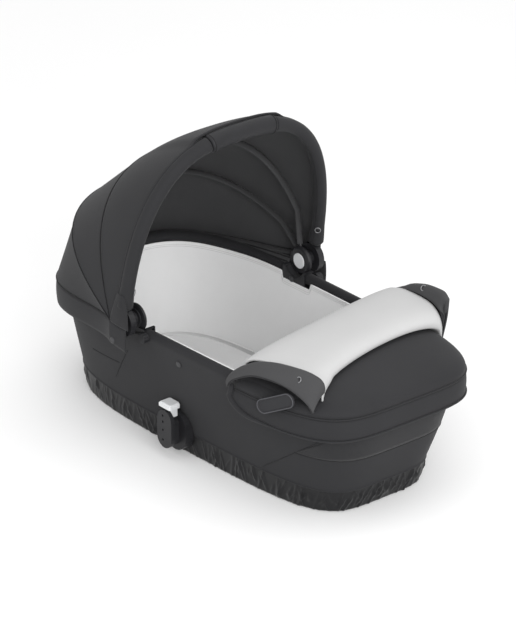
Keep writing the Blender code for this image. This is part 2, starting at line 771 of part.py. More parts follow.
def build_flap_ends():
    flap_end("flap_end_right", RIGHT_SIDE, RIGHT_END_HEAD_X, RIGHT_END_FOOT_X, RIGHT_END_LOW_Z, RIGHT_END_TOP_Z)
    flap_end("flap_end_left", LEFT_SIDE, LEFT_END_HEAD_X, LEFT_END_FOOT_X, LEFT_END_LOW_Z, LEFT_END_TOP_Z)


def build_tag():
    turn = Matrix.Rotation(TAG_TILT, 2)
    reach = TAG_LENGTH / 2 * cos(TAG_TILT)
    widths = [apron_half_width(x) for x in (TAG_X - reach, TAG_X + reach)]
    slope = (widths[1] - widths[0]) / (2 * reach)
    middle = apron_half_width(TAG_X) + 2 * TOUCH + FLAP_END_THICKNESS
    rings = []
    steps = ((0.0, 0.0), (TAG_THICKNESS, 0.0), (TAG_THICKNESS, TAG_BORDER),
             (TAG_THICKNESS - TAG_RECESS, TAG_BORDER + TAG_RECESS))
    for proud, inset in steps:
        outline = stadium(TAG_HEIGHT - 2 * inset, TAG_LENGTH - 2 * inset, 8)
        ring = []
        for across, along in outline:
            x, z = turn @ Vector((along, across))
            ring.append((TAG_X + x, -(middle + slope * x + proud), TAG_Z + z))
        rings.append(ring)
    finish(loft("label_tag", rings), BLACK_PLASTIC, 0.45)


def build_adapters():
    for name, side in SIDES:
        rim = stadium(FLANGE_WIDTH, FLANGE_HEIGHT)
        neck = stadium(NECK_WIDTH, NECK_HEIGHT)
        back = [(ADAPTER_X + x, side * (tub_half_width(ADAPTER_X + x, FLANGE_Z + z) + HEM_RIPPLE + TOUCH),
                 FLANGE_Z + z) for x, z in rim]
        front = [(ADAPTER_X + x, side * FLANGE_FACE_Y, FLANGE_Z + z) for x, z in rim]
        root = [(ADAPTER_X + x, side * FLANGE_FACE_Y, PLATE_Z - BUTTON_HEIGHT + z) for x, z in neck]
        end = [(x, side * (PLATE_BACK_Y - TOUCH), z) for x, y, z in root]
        finish(loft("adapter_flange_" + name, [back, front, root, end]), BLACK_PLASTIC, 0.4)
        holes = [circle(HOLE_RADIUS, 12, HOLE_OFFSET_X, PLATE_HEIGHT * share) for share in HOLE_HEIGHT_SHARES]
        middle_y = side * (PLATE_BACK_Y + PLATE_THICKNESS / 2)
        plate = plate_object("adapter_plate_" + name, [stadium(PLATE_WIDTH, PLATE_HEIGHT)] + holes,
                             PLATE_THICKNESS, upright_plane(ADAPTER_X, middle_y, PLATE_Z))
        finish(plate, BLACK_PLASTIC, 0.35)
        build_adapter_button(name, side)


def build_adapter_button(name, side):
    """Release button: a rounded cap over the plate, on a stem between plate and flange."""
    cap_low = PLATE_Z + PLATE_HEIGHT / 2 + BUTTON_TRAVEL + TOUCH
    cap_high = cap_low + BUTTON_HEIGHT
    back = FLANGE_FACE_Y + SLIDE_GAP
    front = PLATE_BACK_Y + PLATE_THICKNESS
    stem_front = PLATE_BACK_Y - SLIDE_GAP
    stem_low = PLATE_Z - BUTTON_HEIGHT + NECK_HEIGHT / 2 + BUTTON_TRAVEL + TOUCH
    rings = []
    for z, y, half in ((stem_low, stem_front, STEM_WIDTH / 2), (cap_low, stem_front, STEM_WIDTH / 2),
                       (cap_low, front, BUTTON_WIDTH / 2),
                       (cap_high - BUTTON_EDGE, front, BUTTON_WIDTH / 2),
                       (cap_high, front - BUTTON_EDGE, BUTTON_WIDTH / 2 - BUTTON_EDGE)):
        deep = (y - back) / 2
        outline = rounded_rectangle(2 * half, 2 * deep, min(BUTTON_EDGE, deep))
        rings.append([(ADAPTER_X + x, side * (back + deep + across), z) for x, across in outline])
    finish(loft("adapter_button_" + name, rings), GREY_PLASTIC, 0.4)


def bow_place(bow, across, up):
    """A place in a bow's plane: across from the middle, up from the hinge axis."""
    return Vector((HUB_X + up * sin(bow.tilt), across, HUB_Z + up * cos(bow.tilt)))


def bow_arch(bow, inset, count, start):
    """Arch of a bow from its right leg to its left one, from a height above the hinge."""
    first = asin((start / (bow.reach - inset)) ** (bow.power / 2))
    fine = []
    for i in range(361):
        angle = first + (pi - 2 * first) * i / 360
        across = -signed_power(cos(angle), 2 / bow.power) * (bow.side - inset)
        up = sin(angle) ** (2 / bow.power) * (bow.reach - inset)
        fine.append(tuple(bow_place(bow, across, up)))
    return spread(fine, count, False)


def front_arch():
    return bow_arch(FRONT_BOW, 0.0, ARCH_POINTS, HUB_RADIUS + TOUCH)


def build_front_bow():
    finish(curve_object("front_bow", front_arch(), BOW_TUBE, 3), METAL, 0.4, 0.7)
    middle = []
    for i in range(GRIP_ROWS):
        across = GRIP_LENGTH * (i / (GRIP_ROWS - 1) - 0.5)
        share = abs(across) / FRONT_BOW.side
        up = FRONT_BOW.reach * (1 - share ** FRONT_BOW.power) ** (1 / FRONT_BOW.power)
        middle.append(bow_place(FRONT_BOW, across, up))
    rings = []
    for radius, order in ((GRIP_RADIUS, middle), (BOW_TUBE + GRIP_GAP, middle[::-1])):
        for i, point in enumerate(order):
            ahead = order[min(i + 1, GRIP_ROWS - 1)] - order[max(i - 1, 0)]
            if order is not middle:
                ahead = -ahead
            ahead.normalize()
            out = Vector((cos(FRONT_BOW.tilt), 0.0, -sin(FRONT_BOW.tilt)))
            up = ahead.cross(out)
            rings.append([point + radius * (out * cos(a) + up * sin(a))
                          for a in (2 * pi * k / GRIP_SIDES for k in range(GRIP_SIDES))])
    finish(loft("grip", rings, True), GRIP_SKIN, 0.35)


def eye_start(order):
    """Distance from the middle plane to the inner face of a bow's hinge eye."""
    return SOCKET_Y - (EYE_COUNT - order) * EYE_STEP


def build_wires():
    stack = ((2, SECOND_BOW, 0, WIRE_INSET), (3, THIRD_BOW, 1, WIRE_INSET), (4, REAR_BOW, 2, REAR_WIRE_INSET))
    for number, bow, order, inset in stack:
        eye_y = eye_start(order) + EYE_THICKNESS / 2
        arch = bow_arch(bow, inset, WIRE_POINTS, WIRE_SWING)
        leg = [bow_place(bow, eye_y, EYE_RADIUS + TOUCH),
               bow_place(bow, eye_y, (EYE_RADIUS + HUB_RADIUS) / 2 + WIRE_RADIUS),
               bow_place(bow, eye_y, HUB_RADIUS + WIRE_RADIUS * 2)]
        right = [Vector((p.x, -p.y, p.z)) for p in leg]
        path = right + arch + leg[::-1]
        finish(curve_object(f"bow_{number}_wire", path, WIRE_RADIUS, 2), METAL, 0.4, 0.9)
        for name, side in SIDES:
            profile = [(EYE_RADIUS, EYE_THICKNESS), (EYE_RADIUS, 0.0),
                       (PIN_RADIUS + SLIDE_GAP, 0.0), (PIN_RADIUS + SLIDE_GAP, EYE_THICKNESS)]
            eye = turned(f"bow_{number}_eye_{name}", profile, (HUB_X, side * eye_start(order), HUB_Z), side, 16)
            finish(eye, BLACK_PLASTIC, 0.5)


def build_hinges():
    bore = PIN_RADIUS + SLIDE_GAP
    inner_back = LUG_Y - SLIDE_GAP
    rim_top = RIM_LEVEL.z + RIM_TUBE + TOUCH + CLOTH
    for name, side in SIDES:
        depth = inner_back - HUB_INNER_Y
        body = HUB_BACK_Y - HUB_INNER_Y
        pocket = MEMORY_RADIUS + SLIDE_GAP
        profile = [(HUB_NECK_RADIUS, depth), (HUB_NECK_RADIUS, body), (HUB_RADIUS, body),
                   (HUB_RADIUS, HUB_DOME), (HUB_RADIUS - HUB_DOME / 4, HUB_DOME / 2),
                   (HUB_RADIUS - HUB_DOME, 0.0), (pocket, 0.0), (pocket, MEMORY_POCKET),
                   (0.0, MEMORY_POCKET)]
        profile = [(0.0, depth)] + profile
        hub = turned("hub_inner_" + name, profile, (HUB_X, side * HUB_INNER_Y, HUB_Z), side)
        finish(hub, BLACK_PLASTIC, 0.35)
        profile = [(0.0, MEMORY_LENGTH), (MEMORY_RADIUS, MEMORY_LENGTH), (MEMORY_RADIUS, MEMORY_PROUD / 2),
                   (MEMORY_RADIUS - MEMORY_PROUD / 2, 0.0), (0.0, 0.0)]
        button = turned("memory_button_" + name, profile,
                        (HUB_X, side * (HUB_INNER_Y - MEMORY_PROUD), HUB_Z), side, 24)
        finish(button, GREY_PLASTIC, 0.4)
        profile = [(HUB_RADIUS, SOCKET_DEPTH), (HUB_RADIUS, 0.0), (bore, 0.0), (bore, SOCKET_DEPTH)]
        socket = turned("hub_socket_" + name, profile, (HUB_X, side * SOCKET_Y, HUB_Z), side)
        finish(socket, BLACK_PLASTIC, 0.4)
        start = inner_back + TOUCH
        length = SOCKET_Y + SOCKET_DEPTH + TOUCH - start
        profile = [(0.0, length + PIN_HEAD), (PIN_HEAD_RADIUS, length + PIN_HEAD), (PIN_HEAD_RADIUS, length),
                   (PIN_RADIUS, length), (PIN_RADIUS, 0.0), (0.0, 0.0)]
        pin = turned("pivot_pin_" + name, profile, (HUB_X, side * start, HUB_Z), side, 20)
        finish(pin, METAL, 0.3, 1.0)
        build_lug(name, side, bore)
        build_tab(name, side, rim_top)
        build_knob(name, side)


def lug_seat():
    """Height of the cover under the lug's foot, which stands beside the top of the rim."""
    skin = RIM_TUBE + TOUCH + CLOTH
    beside = LUG_Y - (tub_rim_outer(HUB_X - LUG_FOOT / 2) - skin)
    return RIM_LEVEL.z + sqrt(max(skin ** 2 - beside ** 2, 0.0))


def build_lug(name, side, bore):
    """Upright ear on the rim that carries the hinge pin."""
    half = LUG_FOOT / 2
    low = lug_seat() + TOUCH - HUB_Z
    waist = low + LUG_FOOT_HEIGHT
    swing = acos(min(1.0, -waist / LUG_RADIUS)) if -waist < LUG_RADIUS else 0.0
    arc = [(LUG_RADIUS * sin(a), LUG_RADIUS * cos(a))
           for a in (swing - pi + (2 * pi - 2 * swing) * i / 24 for i in range(25))]
    outline = [(half, low), (half, waist)] + [p for p in arc[::-1]] + [(-half, waist), (-half, low)]
    middle = side * (LUG_Y + LUG_THICKNESS / 2)
    lug = plate_object("hinge_lug_" + name, [outline, circle(bore, 20)], LUG_THICKNESS,
                       upright_plane(HUB_X, middle, HUB_Z))
    finish(lug, BLACK_PLASTIC, 0.4)


def tab_face():
    """Distance from the middle plane to the tab's side that lies on the rim's inner edge."""
    return tub_rim_outer(HUB_X + TAB_WIDTH / 2) - 2 * (RIM_TUBE + TOUCH + CLOTH) - TOUCH


def build_tab(name, side, rim_top):
    """Angled tab over the inner edge of the rim, in the liner's notch."""
    face = tab_face()
    reach = LUG_Y - TOUCH
    top = rim_top + TOUCH
    profile = [(face, top), (reach, top), (reach, top + TAB_THICKNESS),
               (face - TAB_THICKNESS, top + TAB_THICKNESS), (face - TAB_THICKNESS, top - TAB_DROP),
               (face, top - TAB_DROP)]
    rings = [[(x, side * y, z) for y, z in profile]
             for x in (HUB_X - TAB_WIDTH / 2, HUB_X + TAB_WIDTH / 2)]
    tab = loft("hinge_tab_" + name, rings)
    cut(tab, cutters.objects["hub_pocket_" + name])
    finish(tab, BLACK_PLASTIC, 0.45)


def build_knob(name, side):
    """Ribbed knob on the outside of the rim behind the hood's leg."""
    start = tub_rim_outer(KNOB_X) + TOUCH
    outline = []
    for i in range(4 * KNOB_RIDGES):
        radius = KNOB_RADIUS - (KNOB_RIDGE if i % 4 > 1 else 0.0)
        angle = 2 * pi * i / (4 * KNOB_RIDGES)
        outline.append((radius * cos(angle), radius * sin(angle)))
    middle = side * (start + KNOB_LENGTH / 2)
    knob = plate_object("rim_knob_" + name, [outline], KNOB_LENGTH,
                        upright_plane(KNOB_X, middle, RIM_LEVEL.z))
    finish(knob, BLACK_PLASTIC, 0.45)


def tub_rim_outer(x):
    """Outer face of the cover beside the rim tube."""
    along = (x - TUB_CENTRE_X) / RIM_LEVEL.head
    grow = RIM_TUBE + TOUCH + CLOTH
    return RIM_LEVEL.side * (1 - TAPER_SHARE * along) + grow


def seam_arch(bow, inset=0.0, count=ARCH_POINTS):
    """Arch of a cloth seam: as its bow, but from the place where the seams meet."""
    top = bow_place(bow, 0.0, bow.reach - inset)
    foot = Vector((SEAM_FOOT_X, 0.0, SEAM_FOOT_Z))
    fine = []
    for i in range(361):
        angle = pi * i / 360
        share = sin(angle) ** (2 / bow.power) if 0 < i < 360 else 0.0
        side = bow.side + (SEAM_FOOT_SIDE - bow.side) * (1 - share) ** SEAM_FLARE_POWER - inset
        place = foot.lerp(top, share)
        fine.append((place.x, -signed_power(cos(angle), 2 / bow.power) * side, place.z))
    return spread(fine, count, False)


def front_edge(thickness):
    """Edge of the hood cloth on the back of the front bow's tube, and on the back of the grip."""
    back = Vector((-cos(FRONT_BOW.tilt), 0.0, sin(FRONT_BOW.tilt)))
    arch = front_arch()
    edge = []
    for i, point in enumerate(arch):
        along = arch[min(i + 1, ARCH_POINTS - 1)] - arch[max(i - 1, 0)]
        out = along.cross(back).normalized()
        beside_grip = abs(point.y) < GRIP_LENGTH / 2 + GRIP_CLEAR
        seat = GRIP_RADIUS + GRIP_GAP if beside_grip else BOW_TUBE + TOUCH
        edge.append(point + (out + back).normalized() * (seat + thickness))
    return edge


def panel(name, first, last, first_inner, last_inner, colour):
    """Cloth stretched straight between two arches."""
    grids = ([], [])
    for grid, a, b in zip(grids, (first, first_inner), (last, last_inner)):
        for k in range(PANEL_ROWS):
            share = k / (PANEL_ROWS - 1)
            grid.append([p.lerp(q, share) for p, q in zip(a, b)])
    finish(sheet(name, *grids), colour, 0.85)


def panel_seam(ahead, behind, seam, inset):
    """A seam's arch, moved a little along its panel's middle so that the panel clears the next."""
    tilt = (ahead.tilt + behind.tilt) / 2
    shift = Vector((sin(tilt), 0.0, cos(tilt))) * SEAM_SHIFT
    return [point + shift for point in seam_arch(seam, inset)]


def build_canopy():
    seams = (("canopy_front", FRONT_BOW, SECOND_BOW), ("canopy_middle", SECOND_BOW, THIRD_BOW),
             ("canopy_rear", THIRD_BOW, REAR_BOW))
    for name, ahead, behind in seams:
        edges = []
        for inset in (0.0, CLOTH):
            if ahead is FRONT_BOW:
                edges.append(front_edge(CLOTH - inset))
            else:
                edges.append(panel_seam(ahead, behind, ahead, inset))
            edges.append(panel_seam(ahead, behind, behind, inset))
        first, last, first_inner, last_inner = edges
        panel(name, first, last, first_inner, last_inner, DARK_CLOTH)


def hood_skirt_row(drop, inset):
    """One row of the hood's skirt: along the rear panel's seam, and ahead past the hinges."""
    seam = panel_seam(THIRD_BOW, REAR_BOW, REAR_BOW, inset)
    side = SEAM_FOOT_SIDE - inset
    ends = [Vector((HOOD_SKIRT_FRONT_X, y, HOOD_SKIRT_TOP_FRONT_Z)) for y in (-side, side)]
    return [point - Vector((0.0, 0.0, drop)) for point in [ends[0]] + seam + [ends[1]]]


def build_hood_skirt():
    drops = (TOUCH, HOOD_SKIRT_DROP / 2, HOOD_SKIRT_DROP)
    grids = [[hood_skirt_row(drop, inset) for drop in drops] for inset in (0.0, CLOTH)]
    finish(sheet("hood_skirt", *grids), DARK_CLOTH, 0.85)


def hood_skirt_half_width(x):
    """Half width of the skirt, read between the points of its outer edge."""
    half = [point for point in hood_skirt_row(0.0, 0.0) if point.y < 0]
    for a, b in zip(half, half[1:]):
        if b.x <= x <= a.x:
            return -a.lerp(b, (a.x - x) / (a.x - b.x)).y


def cover_half_width(x, z):
    """Half width of the cover between its shoulder and the rim."""
    share = (z - SHOULDER_LEVEL.z) / (RIM_LEVEL.z - SHOULDER_LEVEL.z)
    low = tub_half_width(x, SHOULDER_LEVEL.z)
    return low + (tub_rim_outer(x) - low) * share


def stud(name, centre, side, turn=0.0, lean=0.0):
    """Press stud facing out, turned about the upright and leaning with the cloth under it."""
    profile = [(0.0, STUD_HEIGHT), (STUD_RADIUS * STUD_TOP_SHARE, STUD_HEIGHT),
               (STUD_RADIUS, STUD_HEIGHT / 3), (STUD_RADIUS, 0.0), (0.0, 0.0)]
    body = turned(name, profile, centre, side, 16)
    body.rotation_euler.x -= side * lean
    body.rotation_euler.z = side * turn
    finish(body, METAL, 0.3, 0.8)


def build_studs():
    ahead = hood_skirt_half_width(SKIRT_STUD_X + STUD_RADIUS)
    behind = hood_skirt_half_width(SKIRT_STUD_X - STUD_RADIUS)
    turn = atan((ahead - behind) / (2 * STUD_RADIUS))
    skirt = (ahead + behind) / 2 + 2 * TOUCH
    above = cover_half_width(COVER_STUD_X, COVER_STUD_Z + STUD_RADIUS)
    below = cover_half_width(COVER_STUD_X, COVER_STUD_Z - STUD_RADIUS)
    lean = atan((above - below) / (2 * STUD_RADIUS))
    cover = (above + below) / 2 + 2 * TOUCH
    for name, side in SIDES:
        stud("cover_stud_" + name, (COVER_STUD_X, side * cover, COVER_STUD_Z), side, 0.0, lean)
        place = (SKIRT_STUD_X, side * skirt, SKIRT_STUD_Z)
        stud("hood_skirt_stud_" + name, place, side, turn)
        tab = tab_face() - TAB_THICKNESS - TOUCH
        stud("tab_stud_" + name, (TAB_STUD_X, side * tab, TAB_STUD_Z), -side)


def set_origin(name, place):
    """Move a part's origin to a place and leave its shape where it is."""
    thing = parts.objects[name]
    thing.data.transform(Matrix.Translation(-Vector(place)))
    thing.location = place


def hang(axis, names):
    for name in names:
        parts.objects[name].parent = axis
        parts.objects[name].matrix_parent_inverse = axis.matrix_world.inverted()


def build_axes():
    """Put the moving parts under empties on the hinge axis, each bow carrying the next."""
    place = (HUB_X, 0.0, HUB_Z)
    moving = (("bow_3_axis", ("bow_3_wire", "bow_3_eye_left", "bow_3_eye_right", "canopy_middle")),
              ("bow_2_axis", ("bow_2_wire", "bow_2_eye_left", "bow_2_eye_right", "canopy_front")),
              ("handle_axis", ("front_bow", "grip", "hub_inner_left", "hub_inner_right",
                               "hub_socket_left", "hub_socket_right",
                               "memory_button_left", "memory_button_right")))
    carrier = None
    for name, names in moving:
        axis = bpy.data.objects.new(name, None)
        parts.objects.link(axis)
        axis.location = place
        bpy.context.view_layer.update()
        if carrier:
            axis.parent = carrier
            axis.matrix_parent_inverse = carrier.matrix_world.inverted()
        hang(axis, names)
        carrier = axis
    for name in ("front_bow", "grip", "bow_2_wire", "bow_3_wire", "canopy_front", "canopy_middle"):
        set_origin(name, place)
    for name, side in SIDES:
        set_origin("adapter_button_" + name, (ADAPTER_X, side * PLATE_BACK_Y, PLATE_Z + PLATE_HEIGHT / 2))


def main():
    global parts, cutters
    clear_scene()
    parts = make_collection("carrycot")
    cutters = make_collection("cutters")
    build_pockets()
    build_base()
    build_posts()
    build_rim()
    build_cover()
    build_liner()
    build_mattress()
    build_apron()
    build_skirt()
    build_flap()
    build_flap_ends()
    build_tag()
    build_adapters()
    build_front_bow()
    build_wires()
    build_hinges()
    build_canopy()
    build_hood_skirt()
    build_studs()
    build_axes()


main()
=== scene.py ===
"""Cloth, padding, trim and finishes of a carrycot, built on its solid frame.

Metres, +Z up, +X towards the foot end, +Y the left side of the child who lies in it.
"""
import random
from collections import namedtuple
from math import asin, copysign, cos, exp, pi, radians, sin, sqrt

import bmesh
import bpy
from mathutils import Matrix, Vector


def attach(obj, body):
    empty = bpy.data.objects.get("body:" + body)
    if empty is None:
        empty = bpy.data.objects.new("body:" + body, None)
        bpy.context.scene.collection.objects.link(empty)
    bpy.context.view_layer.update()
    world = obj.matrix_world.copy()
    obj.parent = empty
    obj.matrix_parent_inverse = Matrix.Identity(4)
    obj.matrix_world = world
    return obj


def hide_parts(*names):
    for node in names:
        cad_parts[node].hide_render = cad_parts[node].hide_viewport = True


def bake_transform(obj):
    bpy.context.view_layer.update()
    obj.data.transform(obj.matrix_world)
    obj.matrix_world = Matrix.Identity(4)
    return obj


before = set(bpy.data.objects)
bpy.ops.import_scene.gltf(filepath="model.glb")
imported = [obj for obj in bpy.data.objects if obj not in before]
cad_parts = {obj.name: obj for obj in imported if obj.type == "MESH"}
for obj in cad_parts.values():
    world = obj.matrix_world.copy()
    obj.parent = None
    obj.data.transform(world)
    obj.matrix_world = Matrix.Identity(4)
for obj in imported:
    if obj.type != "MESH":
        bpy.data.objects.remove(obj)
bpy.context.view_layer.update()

bl_info = {
    "name": "Carrycot",
    "version": (1, 0, 0),
    "blender": (4, 5, 0),
    "location": "3D View > Sidebar > Carrycot",
    "description": "Builds the cloth, padding, trim and finishes of a carrycot",
    "category": "Object",
}

# Plan of the tub at its heights: reach to the head, reach to the foot, half width
Level = namedtuple("Level", "z head foot side")
TUB_X = -0.017
HEAD_POWER = 3.35
FOOT_POWER = 4.5
TAPER = 0.035
BASE = Level(0.000, 0.372, 0.388, 0.155)
HEM = Level(0.047, 0.380, 0.401, 0.1585)
WAIST = Level(0.120, 0.388, 0.427, 0.1755)
SHOULDER = Level(0.190, 0.393, 0.445, 0.192)
COVER_TOP = Level(0.228, 0.3955, 0.4505, 0.2015)
RIM = Level(0.228, 0.385, 0.440, 0.191)
COVER_LEVELS = (HEM, WAIST, SHOULDER, COVER_TOP)
RIM_WRAP = 0.0105
LINER_FLOOR = Level(0.0106, 0.325, 0.350, 0.136)
LINER_SEAT = Level(0.062, 0.332, 0.372, 0.148)
LINER_TOP = Level(0.221, 0.3767, 0.4317, 0.1827)
LINER_LEVELS = (LINER_FLOOR, LINER_SEAT, LINER_TOP)

# Apron and its folded flap
APRON_REACH = 0.4565
APRON_SIDE = 0.2085
APRON_POWER = 4.8
APRON_EDGE_Z = 0.2217
APRON_CROWN = 0.044
FOLD_RIGHT_X = 0.205
FOLD_LEFT_X = 0.140
FLAP_TOP_Z = 0.2877
FLAP_POWER = 2.6
FLAP_HEAD = (0.207, 0.142)
FLAP_FOOT = (0.381, 0.313, 0.302)
LABEL_HALF_LENGTH = 0.0428
LABEL_RADIUS = 0.0128
LABEL_TILT = radians(27)
SKIRT_LOW_Z = 0.1795
SKIRT_RISE = 0.034
SKIRT_CORNER = 0.062
SKIRT_START_X = (0.190, 0.128)
SKIRT_EDGE_X = (0.191, 0.129)

# Cover's netted strip, liner's top edge with its notches, and mattress
MESH_START_X = 0.3106
MESH_RISE_X = 0.311
MESH_LOW_Z = 0.120
MESH_HIGH_Z = 0.181
MESH_SLOPE = 0.752
LINER_EDGE_Z = 0.2262
NOTCH_X = (-0.1235, -0.0385)
NOTCH_DEPTH = 0.0135
MATTRESS_BASE_Z = 0.0112
MATTRESS_TOP_Z = 0.0572
MATTRESS_GAP = 0.0062
SIM_FRAMES = 20
SIM_PRESSURE = 4.0

# Camera
CAMERA_AIM = Vector((0.057, -0.030, 0.250))
CAMERA_AWAY = 7.273
CAMERA_AZIMUTH = radians(50.0)
CAMERA_ELEVATION = radians(25.0)
CAMERA_LENS = 225.0

# Hood: hinge axis, bows and the place where its seams meet
HUB = Vector((-0.088, 0.0, 0.254))
HUB_RADIUS = 0.028
Bow = namedtuple("Bow", "side reach tilt power")
FRONT_BOW = Bow(0.228, 0.338, radians(10.6), 2.75)
SECOND_BOW = Bow(0.235, 0.281, radians(-26.0), 2.63)
THIRD_BOW = Bow(0.234, 0.299, radians(-62.3), 2.59)
REAR_BOW = Bow(0.2115, 0.347, radians(-95.9), 2.95)
EYES = {2: 0.2057, 3: 0.2107, 4: 0.2157}
POCKET_RADIUS = 0.0292
SEAM_FOOT = Vector((-0.112, 0.0, 0.253))
SEAM_FOOT_SIDE = 0.2395
BOW_TUBE = 0.011
GRIP_LENGTH = 0.150
GRIP_RADIUS = 0.017

SIDES = (("left", 1), ("right", -1))


# Places

def mix(a, b, share):
    return a + (b - a) * share


def ease(share):
    share = min(max(share, 0.0), 1.0)
    return share * share * (3 - 2 * share)


def power_of(value, power):
    return (1 if value >= 0 else -1) * abs(value) ** power


def lengths(points):
    total = [0.0]
    for a, b in zip(points, points[1:]):
        total.append(total[-1] + (Vector(b) - Vector(a)).length)
    return total


def spread(points, count):
    """Put a number of points at even steps along a fine polyline."""
    total = lengths(points)
    result = []
    k = 0
    for i in range(count):
        target = total[-1] * i / (count - 1)
        while k < len(points) - 2 and total[k + 1] < target:
            k += 1
        share = (target - total[k]) / max(total[k + 1] - total[k], 1e-9)
        result.append(Vector(points[k]).lerp(Vector(points[k + 1]), min(max(share, 0.0), 1.0)))
    return result


def soft_path(points, count):
    """A smooth line through a few points, read at even steps."""
    points = [Vector(p) for p in points]
    padded = [points[0] * 2 - points[1]] + points + [points[-1] * 2 - points[-2]]
    fine = []
    for a, b, c, d in zip(padded, padded[1:], padded[2:], padded[3:]):
        for i in range(12):
            t = i / 12
            fine.append(0.5 * (2 * b + (c - a) * t + (2 * a - 5 * b + 4 * c - d) * t * t
                               + (3 * b - 3 * c + d - a) * t ** 3))
    return spread(fine + [points[-1]], count)


def level_at(levels, z):
    """Read the plan at any height, smoothly, from the levels round it."""
    last = len(levels) - 1
    for i in range(last):
        low, high = levels[i], levels[i + 1]
        if z <= high.z or i == last - 1:
            before, after = levels[max(i - 1, 0)], levels[min(i + 2, last)]
            t = min(max((z - low.z) / (high.z - low.z), 0.0), 1.0)
            sizes = []
            for a, b, c, d in zip(before[1:], low[1:], high[1:], after[1:]):
                start = (c - a) / (high.z - before.z) * (high.z - low.z)
                end = (d - b) / (after.z - low.z) * (high.z - low.z)
                sizes.append((2 * t ** 3 - 3 * t ** 2 + 1) * b + (t ** 3 - 2 * t ** 2 + t) * start
                             + (3 * t ** 2 - 2 * t ** 3) * c + (t ** 3 - t ** 2) * end)
            return Level(z, *sizes)


def outline_point(level, angle, grow=0.0, rise=0.0):
    foot = cos(angle) >= 0
    power = 2 / (FOOT_POWER if foot else HEAD_POWER)
    reach = (level.foot if foot else level.head) + grow
    along = power_of(cos(angle), power)
    across = (level.side * (1 - TAPER * along) + grow) * power_of(sin(angle), power)
    return Vector((TUB_X + reach * along, across, level.z + rise))


def outline_angles(columns, known={}):
    """Angles that split the rim's outline into even steps, from the foot round by the left."""
    if columns not in known:
        fine = [2 * pi * i / 5760 for i in range(5761)]
        total = lengths([outline_point(RIM, angle) for angle in fine])
        angles = []
        k = 0
        for i in range(columns + 1):
            target = total[-1] * i / columns
            while k < len(fine) - 2 and total[k + 1] < target:
                k += 1
            share = (target - total[k]) / (total[k + 1] - total[k])
            angles.append(mix(fine[k], fine[k + 1], share))
        known[columns] = angles
    return known[columns]


def ring(level, columns, grow=0.0, rise=0.0):
    return [outline_point(level, angle, grow, rise) for angle in outline_angles(columns)]


def half_width(level, x):
    """Half width of the tub's outline at a place along it."""
    foot = x >= TUB_X
    along = (x - TUB_X) / (level.foot if foot else level.head)
    power = FOOT_POWER if foot else HEAD_POWER
    return level.side * (1 - TAPER * along) * max(1 - abs(along) ** power, 0.0) ** (1 / power)


def apron_half_width(x):
    along = abs(x - TUB_X) / APRON_REACH
    return APRON_SIDE * max(1 - along ** APRON_POWER, 0.0) ** (1 / APRON_POWER)


def apron_height(x, y):
    along = abs(x - TUB_X) / APRON_REACH
    across = abs(y) / APRON_SIDE
    share = min((along ** APRON_POWER + across ** APRON_POWER) ** (1 / APRON_POWER), 1.0)
    return APRON_EDGE_Z + APRON_CROWN * (1 - share ** 3) ** (1 / 3)


def apron_edge(count, grow=0.0, right_x=FOLD_RIGHT_X, left_x=FOLD_LEFT_X):
    """The apron's outline from its right fold, round the foot end, to its left fold."""
    fine = []
    for i in range(1441):
        angle = pi * (i / 1440 - 0.5)
        x = TUB_X + (APRON_REACH + grow) * abs(cos(angle)) ** (2 / APRON_POWER)
        y = (APRON_SIDE + grow) * power_of(sin(angle), 2 / APRON_POWER)
        if x >= (right_x if y < 0 else left_x):
            fine.append((x, y, 0.0))
    return spread(fine, count)


def bow_place(bow, across, up):
    return HUB + Vector((up * sin(bow.tilt), across, up * cos(bow.tilt)))


def bow_arch(bow, inset, count, start):
    """Arch of a bow from its right leg to its left one, from a height above the hinge."""
    first = asin((start / (bow.reach - inset)) ** (bow.power / 2))
    fine = []
    for i in range(721):
        angle = first + (pi - 2 * first) * i / 720
        across = -power_of(cos(angle), 2 / bow.power) * (bow.side - inset)
        up = sin(angle) ** (2 / bow.power) * (bow.reach - inset)
        fine.append(bow_place(bow, across, up))
    return spread(fine, count)


def seam_arch(bow, inset, count):
    """Arch of a cloth seam: as its bow, but from the place where the seams meet."""
    top = bow_place(bow, 0.0, bow.reach - inset)
    fine = []
    for i in range(721):
        angle = pi * i / 720
        share = sin(angle) ** (2 / bow.power) if 0 < i < 720 else 0.0
        side = bow.side + (SEAM_FOOT_SIDE - bow.side) * (1 - share) ** 6 - inset
        place = SEAM_FOOT.lerp(top, share)
        fine.append(Vector((place.x, -power_of(cos(angle), 2 / bow.power) * side, place.z)))
    return spread(fine, count)


# Shapes

def piece(name, bm):
    mesh = bpy.data.meshes.new(name)
    bm.to_mesh(mesh)
    bm.free()
    mesh.shade_smooth()
    made = bpy.data.objects.new(name, mesh)
    bpy.context.scene.collection.objects.link(made)
    return made


def skin(name, lines, flip=False):
    """Lay a grid through lines of points, with its flat size in metres as its UV map."""
    columns = len(lines[0]) - 1
    rows = len(lines) - 1
    along = lengths(lines[rows // 2])
    across = lengths([line[columns // 2] for line in lines])
    bm = bmesh.new()
    flat = bm.loops.layers.uv.new("flat")
    bmesh.ops.create_grid(bm, x_segments=columns, y_segments=rows, size=0.5)
    places = {}
    for vert in bm.verts:
        places[vert] = (round((vert.co.x + 0.5) * columns), round((vert.co.y + 0.5) * rows))
    for face in bm.faces:
        for loop in face.loops:
            i, k = places[loop.vert]
            loop[flat].uv = (along[i], across[k])
    for vert, (i, k) in places.items():
        vert.co = lines[k][i]
    if flip:
        bmesh.ops.reverse_faces(bm, faces=bm.faces)
    bmesh.ops.remove_doubles(bm, verts=bm.verts, dist=0.000001)
    return piece(name, bm)


